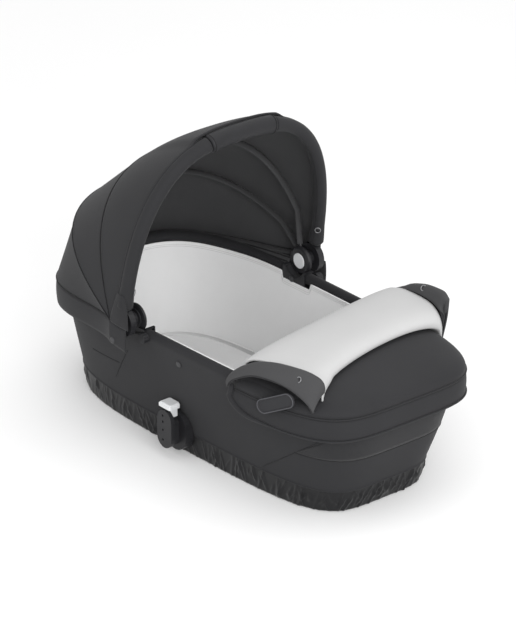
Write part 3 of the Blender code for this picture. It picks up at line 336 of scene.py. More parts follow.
def hoops(points, radius, sides, loop=False, squeeze=1.0, up=None):
    """Rings of points square to a path. The radius is one number, or one for each point."""
    points = [Vector(p) for p in points]
    last = len(points) - 1
    radii = radius if isinstance(radius, (list, tuple)) else [radius] * len(points)
    rings = []
    across = None
    for i, point in enumerate(points):
        if loop:
            ahead = points[(i + 1) % last] - points[(i - 1) % last]
        else:
            ahead = points[min(i + 1, last)] - points[max(i - 1, 0)]
        ahead.normalize()
        if up is not None:
            across = up
        elif across is None:
            across = Vector((0, 0, 1)) if abs(ahead.z) < 0.8 else Vector((0, 1, 0))
        across = (across - ahead * across.dot(ahead)).normalized()
        side = ahead.cross(across)
        rings.append([point + radii[i] * (across * cos(a) * squeeze - side * sin(a))
                      for a in (2 * pi * k / sides for k in range(sides + 1))])
    return rings


def tube(name, points, radius, sides=10, loop=False, squeeze=1.0, up=None):
    """A round or oval bar along a path, closed at both ends or joined to itself."""
    rings = hoops(points, radius, sides, loop, squeeze, up)
    if loop:
        rings[-1] = rings[0]
    lines = [[hoop[k] for hoop in rings] for k in range(sides + 1)]
    made = skin(name, lines)
    if not loop:
        reshape(made, lambda bm: bmesh.ops.holes_fill(bm, edges=bm.edges, sides=0))
        made.data.shade_smooth()
    return made


def reshape(made, change):
    """Change a piece's mesh by a function of its bmesh."""
    bm = bmesh.new()
    bm.from_mesh(made.data)
    change(bm)
    bm.to_mesh(made.data)
    bm.free()


def settle(made):
    """Bake a piece's modifiers into its mesh."""
    bpy.context.view_layer.update()
    graph = bpy.context.evaluated_depsgraph_get()
    shaped = made.evaluated_get(graph)
    mesh = bpy.data.meshes.new_from_object(shaped, preserve_all_data_layers=True, depsgraph=graph)
    made.modifiers.clear()
    made.data = mesh


def thicken(made, thickness):
    wall = made.modifiers.new("thickness", "SOLIDIFY")
    wall.thickness = thickness
    wall.offset = -1.0
    wall.use_even_offset = False
    if len(made.data.materials) > 1:
        wall.material_offset = 1
    settle(made)


def dress(made, finishes, body="tub", replaces=(), thickness=0.0):
    """Give a piece its finishes and thickness, hang it on the body it rides on when one body is named, and
    hide the solids it stands for; a piece given more than one body is only set in place.
    """
    for name in finishes if isinstance(finishes, list) else [finishes]:
        made.data.materials.append(finish(name))
    made["flat_area"] = sum(face.area for face in made.data.polygons)
    if thickness:
        thicken(made, thickness)
    if isinstance(body, str):
        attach(made, body)
    else:
        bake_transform(made)
    if replaces:
        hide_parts(*replaces)


# Finishes

def feed(tree, socket, value):
    """Link a socket to the one it is given, or set it to a number or a colour."""
    if isinstance(value, bpy.types.NodeSocket):
        tree.links.new(value, socket)
    else:
        socket.default_value = value


def node(tree, kind, settings=None, **values):
    made = tree.nodes.new(kind)
    for name, value in (settings or {}).items():
        setattr(made, name, value)
    for name, value in values.items():
        feed(tree, made.inputs[name.replace("_", " ")], value)
    return made


def maths(tree, operation, *values):
    made = node(tree, "ShaderNodeMath", {"operation": operation})
    for socket, value in zip(made.inputs, values):
        feed(tree, socket, value)
    return made.outputs["Value"]


def span(tree, value, low, high, start=0.0, end=1.0):
    made = node(tree, "ShaderNodeMapRange", None, Value=value, From_Min=start, From_Max=end,
                To_Min=low, To_Max=high)
    return made.outputs["Result"]


def tint(tree, share, first, second):
    """Mix two colours, each a tuple or a socket."""
    made = node(tree, "ShaderNodeMix", {"data_type": "RGBA"})
    for socket, value in zip((made.inputs[0], made.inputs[6], made.inputs[7]), (share, first, second)):
        feed(tree, socket, (*value, 1.0) if isinstance(value, tuple) else value)
    return made.outputs[2]


def blank(name):
    """A new material, named apart from those the solids bring, or the one made before."""
    finish_name = f"{name}_finish"
    material = bpy.data.materials.get(finish_name)
    if material:
        return material, None, None
    material = bpy.data.materials.new(finish_name)
    material.use_nodes = True
    tree = material.node_tree
    return material, tree, tree.nodes["Principled BSDF"]


def scaled(colour, factor):
    return tuple(min(part * factor, 1.0) for part in colour)


def noise(tree, where, scale, detail=2.0, rough=0.5):
    made = node(tree, "ShaderNodeTexNoise", None, Vector=where, Scale=scale, Detail=detail, Roughness=rough)
    return made.outputs["Fac"]


def mottled(tree, share, colour, mottle):
    lighter = scaled(colour, 1 + mottle)
    return tint(tree, span(tree, share, 0.0, 1.0, 0.3, 0.7), scaled(colour, 1 - mottle), lighter)


def fabric(name, colour, thread, depth, roughness=(0.75, 0.92), sheen=0.05, flat=True, mottle=0.10):
    """Woven or knitted cloth: crossing threads, loose fibres and a slow change of shade."""
    material, tree, shader = blank(name)
    if tree is None:
        return material
    spot = node(tree, "ShaderNodeTexCoord").outputs["Object"]
    where = node(tree, "ShaderNodeUVMap", {"uv_map": "flat"}).outputs["UV"] if flat else spot
    warp = node(tree, "ShaderNodeTexWave", {"bands_direction": "X"}, Vector=where, Scale=0.314 / thread)
    weft = node(tree, "ShaderNodeTexWave", {"bands_direction": "Y"}, Vector=where, Scale=0.314 / thread)
    weave = maths(tree, "MULTIPLY", warp.outputs["Fac"], weft.outputs["Fac"])
    fibre = noise(tree, spot, 900.0)
    cloud = noise(tree, spot, 14.0, 3.0)
    height = maths(tree, "ADD", weave, maths(tree, "MULTIPLY", fibre, 0.6))
    shade = maths(tree, "ADD", maths(tree, "MULTIPLY", cloud, 0.65), maths(tree, "MULTIPLY", fibre, 0.35))
    tone = mottled(tree, shade, colour, mottle)
    shadow = tint(tree, span(tree, weave, 0.0, 1.0), scaled(colour, 0.8), scaled(colour, 1.05))
    tree.links.new(tint(tree, 0.3, tone, shadow), shader.inputs["Base Color"])
    tree.links.new(span(tree, fibre, *roughness), shader.inputs["Roughness"])
    bump = node(tree, "ShaderNodeBump", None, Strength=depth, Distance=0.0003, Height=height)
    tree.links.new(bump.outputs["Normal"], shader.inputs["Normal"])
    shader.inputs["Sheen Weight"].default_value = sheen
    shader.inputs["Sheen Roughness"].default_value = 0.45
    shader.inputs["Specular IOR Level"].default_value = 0.3
    return material


def grained(name, colour, grain, depth, roughness, metallic=0.0, spec=0.5, mottle=0.12, cells=False):
    """Moulded plastic, leather or metal: a fine grain with a slow change of shade and gloss."""
    material, tree, shader = blank(name)
    if tree is None:
        return material
    spot = node(tree, "ShaderNodeTexCoord").outputs["Object"]
    fine = noise(tree, spot, 1 / grain, 3.0, 0.6)
    slow = noise(tree, spot, 35.0, 4.0)
    height = fine
    if cells:
        pebble = node(tree, "ShaderNodeTexVoronoi", {"feature": "DISTANCE_TO_EDGE"}, Vector=spot,
                      Scale=0.7 / grain)
        height = maths(tree, "ADD", span(tree, pebble.outputs["Distance"], 0.0, 1.0, 0.0, 0.25),
                       maths(tree, "MULTIPLY", fine, 0.3))
    tree.links.new(mottled(tree, slow, colour, mottle), shader.inputs["Base Color"])
    tree.links.new(span(tree, slow, *roughness, 0.3, 0.7), shader.inputs["Roughness"])
    bump = node(tree, "ShaderNodeBump", None, Strength=depth, Distance=grain * 0.25, Height=height)
    tree.links.new(bump.outputs["Normal"], shader.inputs["Normal"])
    shader.inputs["Metallic"].default_value = metallic
    shader.inputs["Specular IOR Level"].default_value = spec
    return material


# Each finish: its kind, the setting or the colour it starts from, how much lighter, and its texture
FINISHES = {
    "outer_cloth": (fabric, "outer_colour", 1.0, dict(thread=0.0007, depth=0.18)),
    "hood_lining": (fabric, "hood_lining_colour", 1.0, dict(thread=0.0006, depth=0.12)),
    "seam_cloth": (fabric, "outer_colour", 0.55, dict(thread=0.0006, depth=0.2)),
    "hem_cloth": (fabric, "hem_colour", 1.0,
                  dict(thread=0.0005, depth=0.10, roughness=(0.42, 0.6), sheen=0.1)),
    "mesh_cloth": (fabric, "outer_colour", 0.85,
                   dict(thread=0.0022, depth=0.9, roughness=(0.7, 0.9), sheen=0.1)),
    "pale_lining": (fabric, "lining_colour", 1.0,
                    dict(thread=0.0009, depth=0.10, roughness=(0.8, 0.95), sheen=0.2, mottle=0.03)),
    # Painted shade: the flap's pale side is the liner's white cloth with its colour set to about half, so
    # the flap reads no brighter than the liner under the lamps
    "pale_flap": (fabric, "flap_colour", 1.0,
                  dict(thread=0.0009, depth=0.10, roughness=(0.8, 0.95), mottle=0.03)),
    "pale_pad": (fabric, "lining_colour", 1.0,
                 dict(thread=0.0011, depth=0.12, roughness=(0.8, 0.95), sheen=0.2, flat=False, mottle=0.03)),
    "pale_thread": (fabric, "lining_colour", 0.72,
                    dict(thread=0.0005, depth=0.3, roughness=(0.7, 0.9), sheen=0.1)),
    "black_plastic": (grained, "plastic_colour", 1.0,
                      dict(grain=0.0007, depth=0.12, roughness=(0.42, 0.54), spec=0.35)),
    "tag_rubber": (grained, "plastic_colour", 1.3,
                   dict(grain=0.0005, depth=0.15, roughness=(0.6, 0.7), spec=0.3)),
    "label_rubber": (grained, "plastic_colour", 3.5,
                     dict(grain=0.0005, depth=0.15, roughness=(0.5, 0.6), spec=0.4)),
    "grey_plastic": (grained, "button_colour", 1.0,
                     dict(grain=0.0008, depth=0.05, roughness=(0.38, 0.46), mottle=0.03)),
    "grip_leather": (grained, "grip_colour", 1.0,
                     dict(grain=0.0014, depth=0.3, roughness=(0.46, 0.58), spec=0.26, cells=True)),
    "tube_metal": (grained, (0.55, 0.55, 0.56), 1.0,
                   dict(grain=0.0004, depth=0.05, roughness=(0.32, 0.45), metallic=0.9)),
    "spring_steel": (grained, (0.05, 0.05, 0.052), 1.0,
                     dict(grain=0.0004, depth=0.05, roughness=(0.4, 0.55), metallic=0.6)),
    "stud_metal": (grained, "stud_colour", 1.0,
                   dict(grain=0.0003, depth=0.08, roughness=(0.45, 0.6), metallic=0.3)),
    "snap_ring": (grained, (0.30, 0.30, 0.31), 1.0,
                  dict(grain=0.0003, depth=0.08, roughness=(0.35, 0.5), metallic=0.6)),
    "floor_board": (grained, (0.3, 0.29, 0.27), 1.0,
                    dict(grain=0.0012, depth=0.2, roughness=(0.7, 0.85), mottle=0.2)),
}


def finish(name):
    kind, colour, lighter, texture = FINISHES[name]
    if isinstance(colour, str):
        colour = getattr(settings(), colour)
    return kind(name, scaled(colour, lighter), **texture)


# Stage

def show_either(tree, kind, lit, shown):
    """Light the scene by one shader, and show another straight to the camera and in gloss."""
    path = node(tree, "ShaderNodeLightPath")
    seen = maths(tree, "MAXIMUM", path.outputs["Is Camera Ray"],
                 maths(tree, "MAXIMUM", path.outputs["Is Glossy Ray"], path.outputs["Is Transmission Ray"]))
    choice = node(tree, "ShaderNodeMixShader")
    for socket, value in zip(choice.inputs, (seen, lit.outputs[0], shown.outputs[0])):
        feed(tree, socket, value)
    node(tree, kind, None, Surface=choice.outputs[0])


def build_stage():
    scene = bpy.context.scene
    bm = bmesh.new()
    bmesh.ops.create_grid(bm, x_segments=2, y_segments=2, size=30.0)
    floor = piece("studio_floor", bm)
    material = bpy.data.materials.new("studio_paper")
    material.use_nodes = True
    tree = material.node_tree
    tree.nodes.clear()
    spot = node(tree, "ShaderNodeTexCoord").outputs["Object"]
    tone = tint(tree, span(tree, noise(tree, spot, 3.0), 0.0, 1.0), (0.81, 0.81, 0.81), (0.83, 0.83, 0.83))
    paper = node(tree, "ShaderNodeBsdfDiffuse", None, Color=tone)
    glow = node(tree, "ShaderNodeEmission", None, Strength=settings().floor_glow)
    both = node(tree, "ShaderNodeAddShader")
    for socket, part in zip(both.inputs, (paper, glow)):
        feed(tree, socket, part.outputs[0])
    show_either(tree, "ShaderNodeOutputMaterial", paper, both)
    floor.data.materials.append(material)

    world = bpy.data.worlds.new("studio")
    scene.world = world
    world.use_nodes = True
    tree = world.node_tree
    tree.nodes.clear()
    fill, white = [node(tree, "ShaderNodeBackground", None, Color=(1.0, 1.0, 1.0, 1.0), Strength=strength)
                   for strength in (settings().sky_strength, 1.0)]
    show_either(tree, "ShaderNodeOutputWorld", fill, white)

    def lamp(name, place, aim, size, watts):
        light = bpy.data.lights.new(name, "AREA")
        light.shape = "RECTANGLE"
        light.size, light.size_y = size
        light.energy = watts
        holder = bpy.data.objects.new(name, light)
        holder.location = place
        holder.rotation_euler = (Vector(place) - Vector(aim)).to_track_quat("Z", "Y").to_euler()
        scene.collection.objects.link(holder)

    lamp("softbox_top", (0.3, 0.2, 2.6), (0.0, 0.0, 0.2), (2.6, 2.6), settings().top_watts)
    lamp("softbox_front", (2.6, -1.2, 1.5), (0.0, 0.0, 0.25), (1.8, 1.8), settings().front_watts)

    camera = bpy.data.cameras.new("camera")
    camera.lens = CAMERA_LENS
    camera.sensor_width = 36.0
    camera.clip_end = 100.0
    back = Vector((sin(CAMERA_AZIMUTH) * cos(CAMERA_ELEVATION), -cos(CAMERA_AZIMUTH) * cos(CAMERA_ELEVATION),
                   sin(CAMERA_ELEVATION)))
    holder = bpy.data.objects.new("camera", camera)
    holder.location = CAMERA_AIM + back * CAMERA_AWAY
    holder.rotation_euler = back.to_track_quat("Z", "Y").to_euler()
    scene.collection.objects.link(holder)
    scene.camera = holder
    scene.view_settings.view_transform = "Standard"


# Solid parts that keep their shape

def build_solid_finishes():
    choices = {
        "base_board": "floor_board", "rim_frame": "tube_metal", "side_post": "tube_metal",
        "bow_2_wire": "spring_steel", "bow_3_wire": "spring_steel", "bow_4_wire": "spring_steel",
        "pivot_pin": "stud_metal", "cover_stud": "stud_metal", "hood_skirt_stud": "stud_metal",
        "tab_stud": "stud_metal", "memory_button": "grey_plastic", "adapter_button": "grey_plastic",
        "label_tag": "tag_rubber", "grip": "grip_leather",
    }
    for name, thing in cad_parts.items():
        fits = [choice for start, choice in choices.items() if name.startswith(start)]
        for slot in thing.material_slots:
            slot.material = finish(fits[0] if fits else "black_plastic")


def build_label_rim():
    """Raised rim round the face of the oval label."""
    points = [corner.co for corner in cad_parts["label_tag"].data.vertices]
    first = min(points, key=lambda p: (round(p.x, 4), p.y))
    last = min(points, key=lambda p: (-round(p.x, 4), p.y))
    middle = (first + last) / 2
    slope = (last.y - first.y) / (last.x - first.x)
    path = []
    for k in range(96):
        turn = 2 * pi * k / 96
        along = LABEL_RADIUS * cos(turn) + copysign(LABEL_HALF_LENGTH - LABEL_RADIUS, cos(turn))
        across = LABEL_RADIUS * sin(turn)
        x = along * cos(LABEL_TILT) - across * sin(LABEL_TILT)
        z = along * sin(LABEL_TILT) + across * cos(LABEL_TILT)
        path.append(Vector((middle.x + x, middle.y + slope * x + 0.0001, middle.z + z)))
    dress(tube("label_rim", path, 0.0011, 8, True), "label_rubber", "tub")


# Tub

def cover_half_width(x, z):
    return half_width(level_at(COVER_LEVELS, z), x)


def pocket_floor(x):
    """Height to which the cover dips under the hood's hubs."""
    away = abs(x - HUB.x)
    return HUB.z - sqrt(POCKET_RADIUS ** 2 - away ** 2) if away < POCKET_RADIUS else 1.0


def build_cover():
    columns = 960
    heights = (0.049, 0.053, 0.060, 0.070, 0.082, 0.095, 0.108, 0.120, 0.133, 0.146, 0.158,
               0.169, 0.179, 0.188, 0.196, 0.204, 0.211, 0.217, 0.223)
    lines = [ring(HEM, columns, 0.0002, -0.0022), ring(HEM, columns, 0.0012, -0.0012)]
    lines += [ring(level_at(COVER_LEVELS, z), columns) for z in heights]
    for k in range(13):
        angle = pi * k / 12
        lines.append(ring(RIM, columns, RIM_WRAP * cos(angle), RIM_WRAP * sin(angle)))
    lines += [ring(RIM, columns, -RIM_WRAP, -0.003), ring(RIM, columns, -RIM_WRAP + 0.0002, -0.0065)]
    for line in lines:
        for point in line:
            point.z = min(point.z, pocket_floor(point.x))
    cover = skin("outer_cover_cloth", lines)
    dress(cover, "outer_cloth", "tub", ["outer_cover"], 0.0018)
    for name, side in SIDES:
        for part, places in (("head_high", ((-0.127, 0.170), (-0.158, 0.130), (-0.190, 0.087))),
                             ("head_low", ((-0.259, 0.120), (-0.212, 0.124), (-0.166, 0.128))),
                             ("foot", ((0.413, 0.197), (0.389, 0.178), (0.365, 0.158), (0.330, 0.133),
                                       (0.296, 0.109), (0.262, 0.085), (0.230, 0.063), (0.214, 0.050)))):
            path = soft_path([(x, 0.0, z) for x, z in places], 40)
            path = [(p.x, side * (cover_half_width(p.x, p.z) + 0.0002), p.z) for p in path]
            dress(tube(f"cover_seam_{part}_{name}", path, 0.0007, 6), "seam_cloth")
    build_mesh_strip()


def build_mesh_strip():
    """Netted strip round the foot end, between the apron's skirt and a seam."""
    angles = [angle for angle in outline_angles(640) if outline_point(WAIST, angle).x > MESH_START_X]
    angles = sorted(angle - 2 * pi if angle > pi else angle for angle in angles)
    lines = []
    for k in range(9):
        line = []
        for angle in angles:
            x = outline_point(WAIST, angle).x
            top = min(MESH_HIGH_Z, MESH_LOW_Z + 0.0002 + max(x - MESH_RISE_X, 0.0) * MESH_SLOPE)
            z = mix(MESH_LOW_Z, top, k / 8)
            line.append(outline_point(level_at(COVER_LEVELS, z), angle, 0.0006))
        lines.append(line)
    dress(skin("mesh_strip", lines), "mesh_cloth", "tub", (), 0.0005)
    dress(tube("mesh_strip_seam", lines[0], 0.0008, 6), "seam_cloth")


def build_hem():
    """Gathered band round the foot of the cover, its wrinkles strongest at the foot end."""
    columns = 1280
    rows = 18
    angles = outline_angles(columns)
    total = lengths(ring(HEM, columns))
    chance = random.Random(11)
    push = [[0.0] * (columns + 1) for _ in range(rows + 1)]
    for _ in range(settings().wrinkles):
        centre = chance.uniform(0.0, total[-1])
        angle = angles[min(range(0, columns, 4), key=lambda i: abs(total[i] - centre))]
        strength = 0.40 + 0.60 * ease((cos(angle) + 0.2) / 0.7)
        width = chance.uniform(0.0015, 0.0042)
        height = chance.uniform(0.35, 1.0) * settings().wrinkle_height * strength
        lean = chance.uniform(-0.7, 0.7)
        low, high = chance.uniform(-0.3, 0.35), chance.uniform(0.6, 1.2)
        for k in range(rows + 1):
            share = k / rows
            window = ease((share - low) / 0.25) * ease((high - share) / 0.25)
            middle = centre + lean * (share - 0.5) * 0.045
            for i in range(columns):
                away = (total[i] - middle) / width
                if abs(away) < 3:
                    push[k][i] += height * window * exp(-away * away)
    lines = [[outline_point(BASE, angle, -0.006, 0.0006) for angle in angles]]
    for k in range(rows + 1):
        share = k / rows
        level = level_at((BASE, HEM, WAIST), mix(0.0022, 0.0472, share))
        pinch = 1 - ease((share - 0.85) / 0.15) * 0.7
        line = []
        for i, angle in enumerate(angles):
            lift = min(push[k][i % columns], 0.0052) * pinch
            line.append(outline_point(level, angle, lift - 0.0006))
        lines.append(line)
    lines.append([outline_point(HEM, angle, -0.0016, 0.0014) for angle in angles])
    hem = skin("ruched_hem_cloth", lines)
    dress(hem, "hem_cloth", "tub", ["ruched_hem"], 0.0008)
    seam = ring(HEM, 320, 0.0004, 0.0006)
    dress(tube("hem_seam", seam, 0.0006, 6, True), "seam_cloth")


def liner_top(x, y):
    """Height of the liner's top edge: notched at each hinge, higher on the right, lower at the head."""
    notch = ease((x - NOTCH_X[0]) / 0.003) * ease((NOTCH_X[1] - x) / 0.003)
    return LINER_EDGE_Z + 0.0058 * ease(-y / 0.12) - NOTCH_DEPTH * notch - 0.0048 * ease((-0.16 - x) / 0.14)


def liner_point(angle, z):
    tuck = ease((z - 0.214) / 0.010) * 0.0016
    level = level_at(LINER_LEVELS, min(z, LINER_TOP.z))
    point = outline_point(level, angle, -0.0032 - tuck)
    point.z = z
    return point


def liner_edge(angles, drop):
    """The liner's top edge, or a line at a drop below it."""
    edge = []
    for angle in angles:
        place = liner_point(angle, LINER_TOP.z)
        edge.append(liner_point(angle, liner_top(place.x, place.y) - drop))
    return edge


def build_liner():
    columns = 900
    angles = outline_angles(columns)
    shares = (0.0, 0.006, 0.02, 0.045, 0.07, 0.10, 0.16, 0.24, 0.33, 0.43, 0.53, 0.63, 0.73, 0.83, 0.92, 1.0)
    tops = [point.z for point in liner_edge(angles, 0.0)]
    lines = []
    for share in shares:
        lines.append([liner_point(angle, mix(top, LINER_SEAT.z, share)) for angle, top in zip(angles, tops)])
    for z in (0.052, 0.040, 0.028, 0.018):
        lines.append([liner_point(angle, z) for angle in angles])
    for inset in (0.006, 0.014, 0.026):
        lines.append(ring(LINER_FLOOR, columns, -0.003 - inset, 0.0012))
    liner = skin("liner_cloth", lines)

    def face_inward(bm):
        normal = next(face.normal for face in bm.faces if face.calc_center_median().x > 0.39)
        if normal.x > 0:
            bmesh.ops.reverse_faces(bm, faces=bm.faces)

    reshape(liner, face_inward)
    dress(liner, "pale_lining", "tub", ["liner"], 0.0022)
    edge = [point + Vector((0.0, 0.0, 0.0002)) for point in liner_edge(angles[::2], 0.0)]
    dress(tube("liner_piping", edge, 0.0014, 8, True), "pale_lining")
    for number, drop in ((1, 0.0052), (2, 0.0085)):
        line = liner_edge(angles[::2], drop)
        dress(tube(f"liner_stitch_{number}", line, 0.0004, 5, True), "pale_thread")


def inflate(made, voxel, cap):
    """Let a closed pad swell under a little pressure, no further than the cap."""
    remesh = made.modifiers.new("remesh", "REMESH")
    remesh.mode = "VOXEL"
    remesh.voxel_size = voxel
    settle(made)
    start = [vert.co.copy() for vert in made.data.vertices]
    scene = bpy.context.scene
    cloth = made.modifiers.new("swell", "CLOTH")
    cloth.settings.use_pressure = True
    cloth.settings.uniform_pressure_force = SIM_PRESSURE
    cloth.settings.effector_weights.gravity = 0.0
    cloth.point_cache.frame_start = 1
    cloth.point_cache.frame_end = SIM_FRAMES
    for number in range(1, SIM_FRAMES + 1):
        scene.frame_set(number)
    graph = bpy.context.evaluated_depsgraph_get()
    swollen = [vert.co.copy() for vert in made.evaluated_get(graph).data.vertices]
    made.modifiers.clear()
    scene.frame_set(1)
    for vert, low, high in zip(made.data.vertices, start, swollen):
        move = high - low
        if move.length > cap:
            move *= cap / move.length
        vert.co = low + move
    smooth = made.modifiers.new("smooth", "SUBSURF")
    smooth.levels = 1
    smooth.render_levels = 1
    settle(made)
    made.data.shade_smooth()


def build_mattress():
    shrink = 0.0008
    rows = ((0.0, 0.010), (0.0, 0.005), (0.08, 0.0015), (0.25, 0.0), (0.6, 0.0), (0.85, 0.001),
            (0.95, 0.0035), (1.0, 0.009), (1.03, 0.03), (1.06, 0.06), (1.09, 0.10), (1.10, 0.135))
    lines = []
    for rise, inset in rows:
        z = mix(MATTRESS_BASE_Z + shrink, MATTRESS_TOP_Z - shrink, rise)
        line = ring(level_at(LINER_LEVELS, min(z, LINER_SEAT.z)), 180, -MATTRESS_GAP - shrink - inset)
        for point in line:
            point.z = z
        lines.append(line)
    pad = skin("mattress_pad", lines)

    def close(bm):
        bmesh.ops.holes_fill(bm, edges=bm.edges, sides=0)
        bmesh.ops.triangulate(bm, faces=[face for face in bm.faces if len(face.verts) > 4])
        bmesh.ops.recalc_face_normals(bm, faces=bm.faces)

    reshape(pad, close)
    inflate(pad, 0.006, 0.005)
    dress(pad, "pale_pad", "tub", ["mattress"])
    edge = ring(level_at(LINER_LEVELS, 0.055), 240, -0.0060)
    dress(tube("mattress_piping", edge, 0.0014, 8, True), "pale_lining")


# Apron and flap

def build_apron():
    columns = 160
    edge = apron_edge(columns + 1)
    shares = (0.0, 0.004, 0.012, 0.024, 0.04, 0.06, 0.085, 0.12, 0.17, 0.24, 0.33, 0.44, 0.56, 0.68,
              0.8, 0.9, 1.0)
    middle_x = (FOLD_RIGHT_X + FOLD_LEFT_X) / 2
    lines = []
    for share in shares:
        line = []
        for i, point in enumerate(edge):
            spine = Vector((mix(middle_x, 0.300, 1 - abs(2 * i / columns - 1)), 0.0, 0.0))
            place = point.lerp(spine, share)
            line.append(Vector((place.x, place.y, apron_height(place.x, place.y))))
        lines.append(line)
    apron = skin("apron_cloth", lines)
    dress(apron, "outer_cloth", "tub", ["apron_cover"], 0.0020)
    seam = [Vector((p.x, p.y, APRON_EDGE_Z - 0.0004)) for p in apron_edge(240, 0.0004)]
    dress(tube("apron_piping", seam, 0.0015, 8), "outer_cloth")
    groove = [Vector((p.x, p.y, APRON_EDGE_Z - 0.0026)) for p in apron_edge(240, 0.0002)]
    dress(tube("apron_seam", groove, 0.0006, 6), "seam_cloth")
    build_apron_skirt()


def skirt_low(x, y):
    """Height of the skirt's lower edge, rising in a round corner at each fold."""
    away = min(max((x - SKIRT_START_X[0 if y < 0 else 1]) / SKIRT_CORNER, 0.0), 1.0)
    return SKIRT_LOW_Z + SKIRT_RISE * (1 - sqrt(1 - (1 - away) ** 2))


def build_apron_skirt():
    columns = 200
    lines = []
    for k in range(9):
        share = k / 8
        line = []
        for point in apron_edge(columns + 1, 0.0, *SKIRT_EDGE_X):
            low = skirt_low(point.x, point.y)
            z = mix(low, APRON_EDGE_Z - 0.002, share)
            bulge = 0.0014 * sin(pi * share)
            away = Vector((point.x - TUB_X, point.y * 3, 0.0)).normalized()
            line.append(Vector((point.x, point.y, z)) + away * bulge)
        lines.append(line)
    skirt = skin("apron_skirt_cloth", lines)
    dress(skirt, "outer_cloth", "tub", ["apron_skirt"], 0.0022)
    hem = []
    radii = []
    for point in apron_edge(300, 0.0008, *SKIRT_EDGE_X):
        hem.append(Vector((point.x, point.y, skirt_low(point.x, point.y))))
        start = SKIRT_START_X[0 if point.y < 0 else 1]
        radii.append(mix(0.0060, 0.0019, ease((point.x - start) / 0.13)))
    for end, start in zip((0, -1), SKIRT_START_X):
        x = start + 0.006
        lift = [Vector((x, hem[end].y, 0.2135 + 0.004 * k)) for k in range(1, 5)]
        fade = [0.0058, 0.0055, 0.0050, 0.0042]
        if end == 0:
            hem = lift[::-1] + hem
            radii = fade[::-1] + radii
        else:
            hem += lift
            radii += fade
    dress(tube("apron_skirt_hem", hem, radii, 12), "outer_cloth")


def flap_limits(across):
    head = mix(FLAP_HEAD[0], FLAP_HEAD[1], across)
    mean = mix(FLAP_FOOT[0], FLAP_FOOT[2], across)
    dip = (FLAP_FOOT[0] + FLAP_FOOT[2]) / 2 - FLAP_FOOT[1]
    return head, mean - dip * 4 * across * (1 - across)


def flap_point(across, turn):
    head, foot = flap_limits(across)
    x = (head + foot) / 2 + (foot - head) / 2 * power_of(cos(turn), 2 / FLAP_POWER)
    low = apron_height(x, (2 * across - 1) * apron_half_width(x)) + 0.0026
    share = ((power_of(sin(turn), 2 / FLAP_POWER) + 1) / 2) ** (1 + 0.9 * max(cos(turn), 0.0))
    z = mix(low, FLAP_TOP_Z, share)
    lean = max((z - 0.236) / 0.052, 0.0)
    right = apron_half_width(x) - 0.0070 - 0.0185 * max(lean ** 1.2, ease((x - 0.330) / 0.030))
    left = apron_half_width(x) - 0.0015 + 0.006 * lean
    return Vector((x, mix(-right, left, across), z))


def build_flap():
    columns = 72
    rows = 64
    lines = []
    for k in range(rows + 1):
        across = k / rows
        lines.append([flap_point(across, 2 * pi * i / columns) for i in range(columns + 1)])
    flap = skin("apron_flap_cloth", lines, True)
    # The flap's pale side takes the painted-shade copy of the liner's white cloth
    dress(flap, ["pale_flap", "outer_cloth"], "tub", ["apron_flap"], 0.0035)
    build_right_end()
    build_left_end()


RIGHT_TOP = ((0.202, -0.2065, 0.246), (0.206, -0.203, 0.254), (0.222, -0.196, 0.267), (0.248, -0.187, 0.280),
             (0.285, -0.177, 0.288), (0.325, -0.168, 0.291), (0.355, -0.161, 0.291), (0.374, -0.156, 0.286),
             (0.381, -0.153, 0.276), (0.378, -0.152, 0.263))
RIGHT_LOW = ((0.195, -0.216, 0.228), (0.206, -0.217, 0.242), (0.224, -0.216, 0.254), (0.260, -0.212, 0.270),
             (0.298, -0.207, 0.275), (0.330, -0.199, 0.272), (0.355, -0.192, 0.263), (0.375, -0.185, 0.250),
             (0.386, -0.180, 0.233))


def build_right_end():
    """Dark padded band that hangs from the white flap's right end, with the blank tag under it."""
    count = 72
    top = soft_path(RIGHT_TOP, count)
    low = soft_path(RIGHT_LOW, count)
    lines = []
    for k in range(13):
        share = k / 12
        line = []
        for i, (a, b) in enumerate(zip(top, low)):
            place = a.lerp(b, share)
            puff = 0.0055 * sin(pi * share) ** 0.7
            line.append(place + Vector((0.0, -0.8, 0.6)) * puff)
        lines.append(line)
    band = skin("flap_end_right_cloth", lines)
    dress(band, ["outer_cloth", "hood_lining"], "tub", ["flap_end_right"], 0.0045)
    dress(tube("flap_end_right_binding", top, 0.0026, 8), "outer_cloth")
    dress(tube("flap_end_right_seam", [p.lerp(q, 0.22) + Vector((0.0, -0.8, 0.6)) * 0.0040
                                       for p, q in zip(top, low)], 0.0008, 6),
          "seam_cloth")
    dress(tube("flap_end_right_hem", low, 0.0030, 10), "outer_cloth")
    out = Vector((0.1, -0.78, 0.62)).normalized()
    build_snap("flap_snap_right", Vector((0.350, -0.1830, 0.2850)), out, "tub")


LEFT_TOP = ((0.150, 0.212, 0.262), (0.163, 0.213, 0.272), (0.178, 0.214, 0.280), (0.202, 0.214, 0.286),
            (0.224, 0.214, 0.289), (0.246, 0.213, 0.289), (0.264, 0.212, 0.287), (0.281, 0.210, 0.281),
            (0.289, 0.209, 0.271), (0.289, 0.208, 0.258), (0.284, 0.207, 0.247))
LEFT_HIGH = ((0.137, 0.218, 0.262), (0.146, 0.221, 0.266), (0.175, 0.226, 0.280), (0.191, 0.227, 0.291),
             (0.212, 0.225, 0.299), (0.236, 0.223, 0.306), (0.260, 0.222, 0.309), (0.281, 0.221, 0.310),
             (0.290, 0.220, 0.308), (0.294, 0.219, 0.303), (0.289, 0.219, 0.294), (0.280, 0.219, 0.283),
             (0.282, 0.218, 0.277), (0.281, 0.217, 0.270), (0.276, 0.215, 0.260), (0.269, 0.213, 0.249))


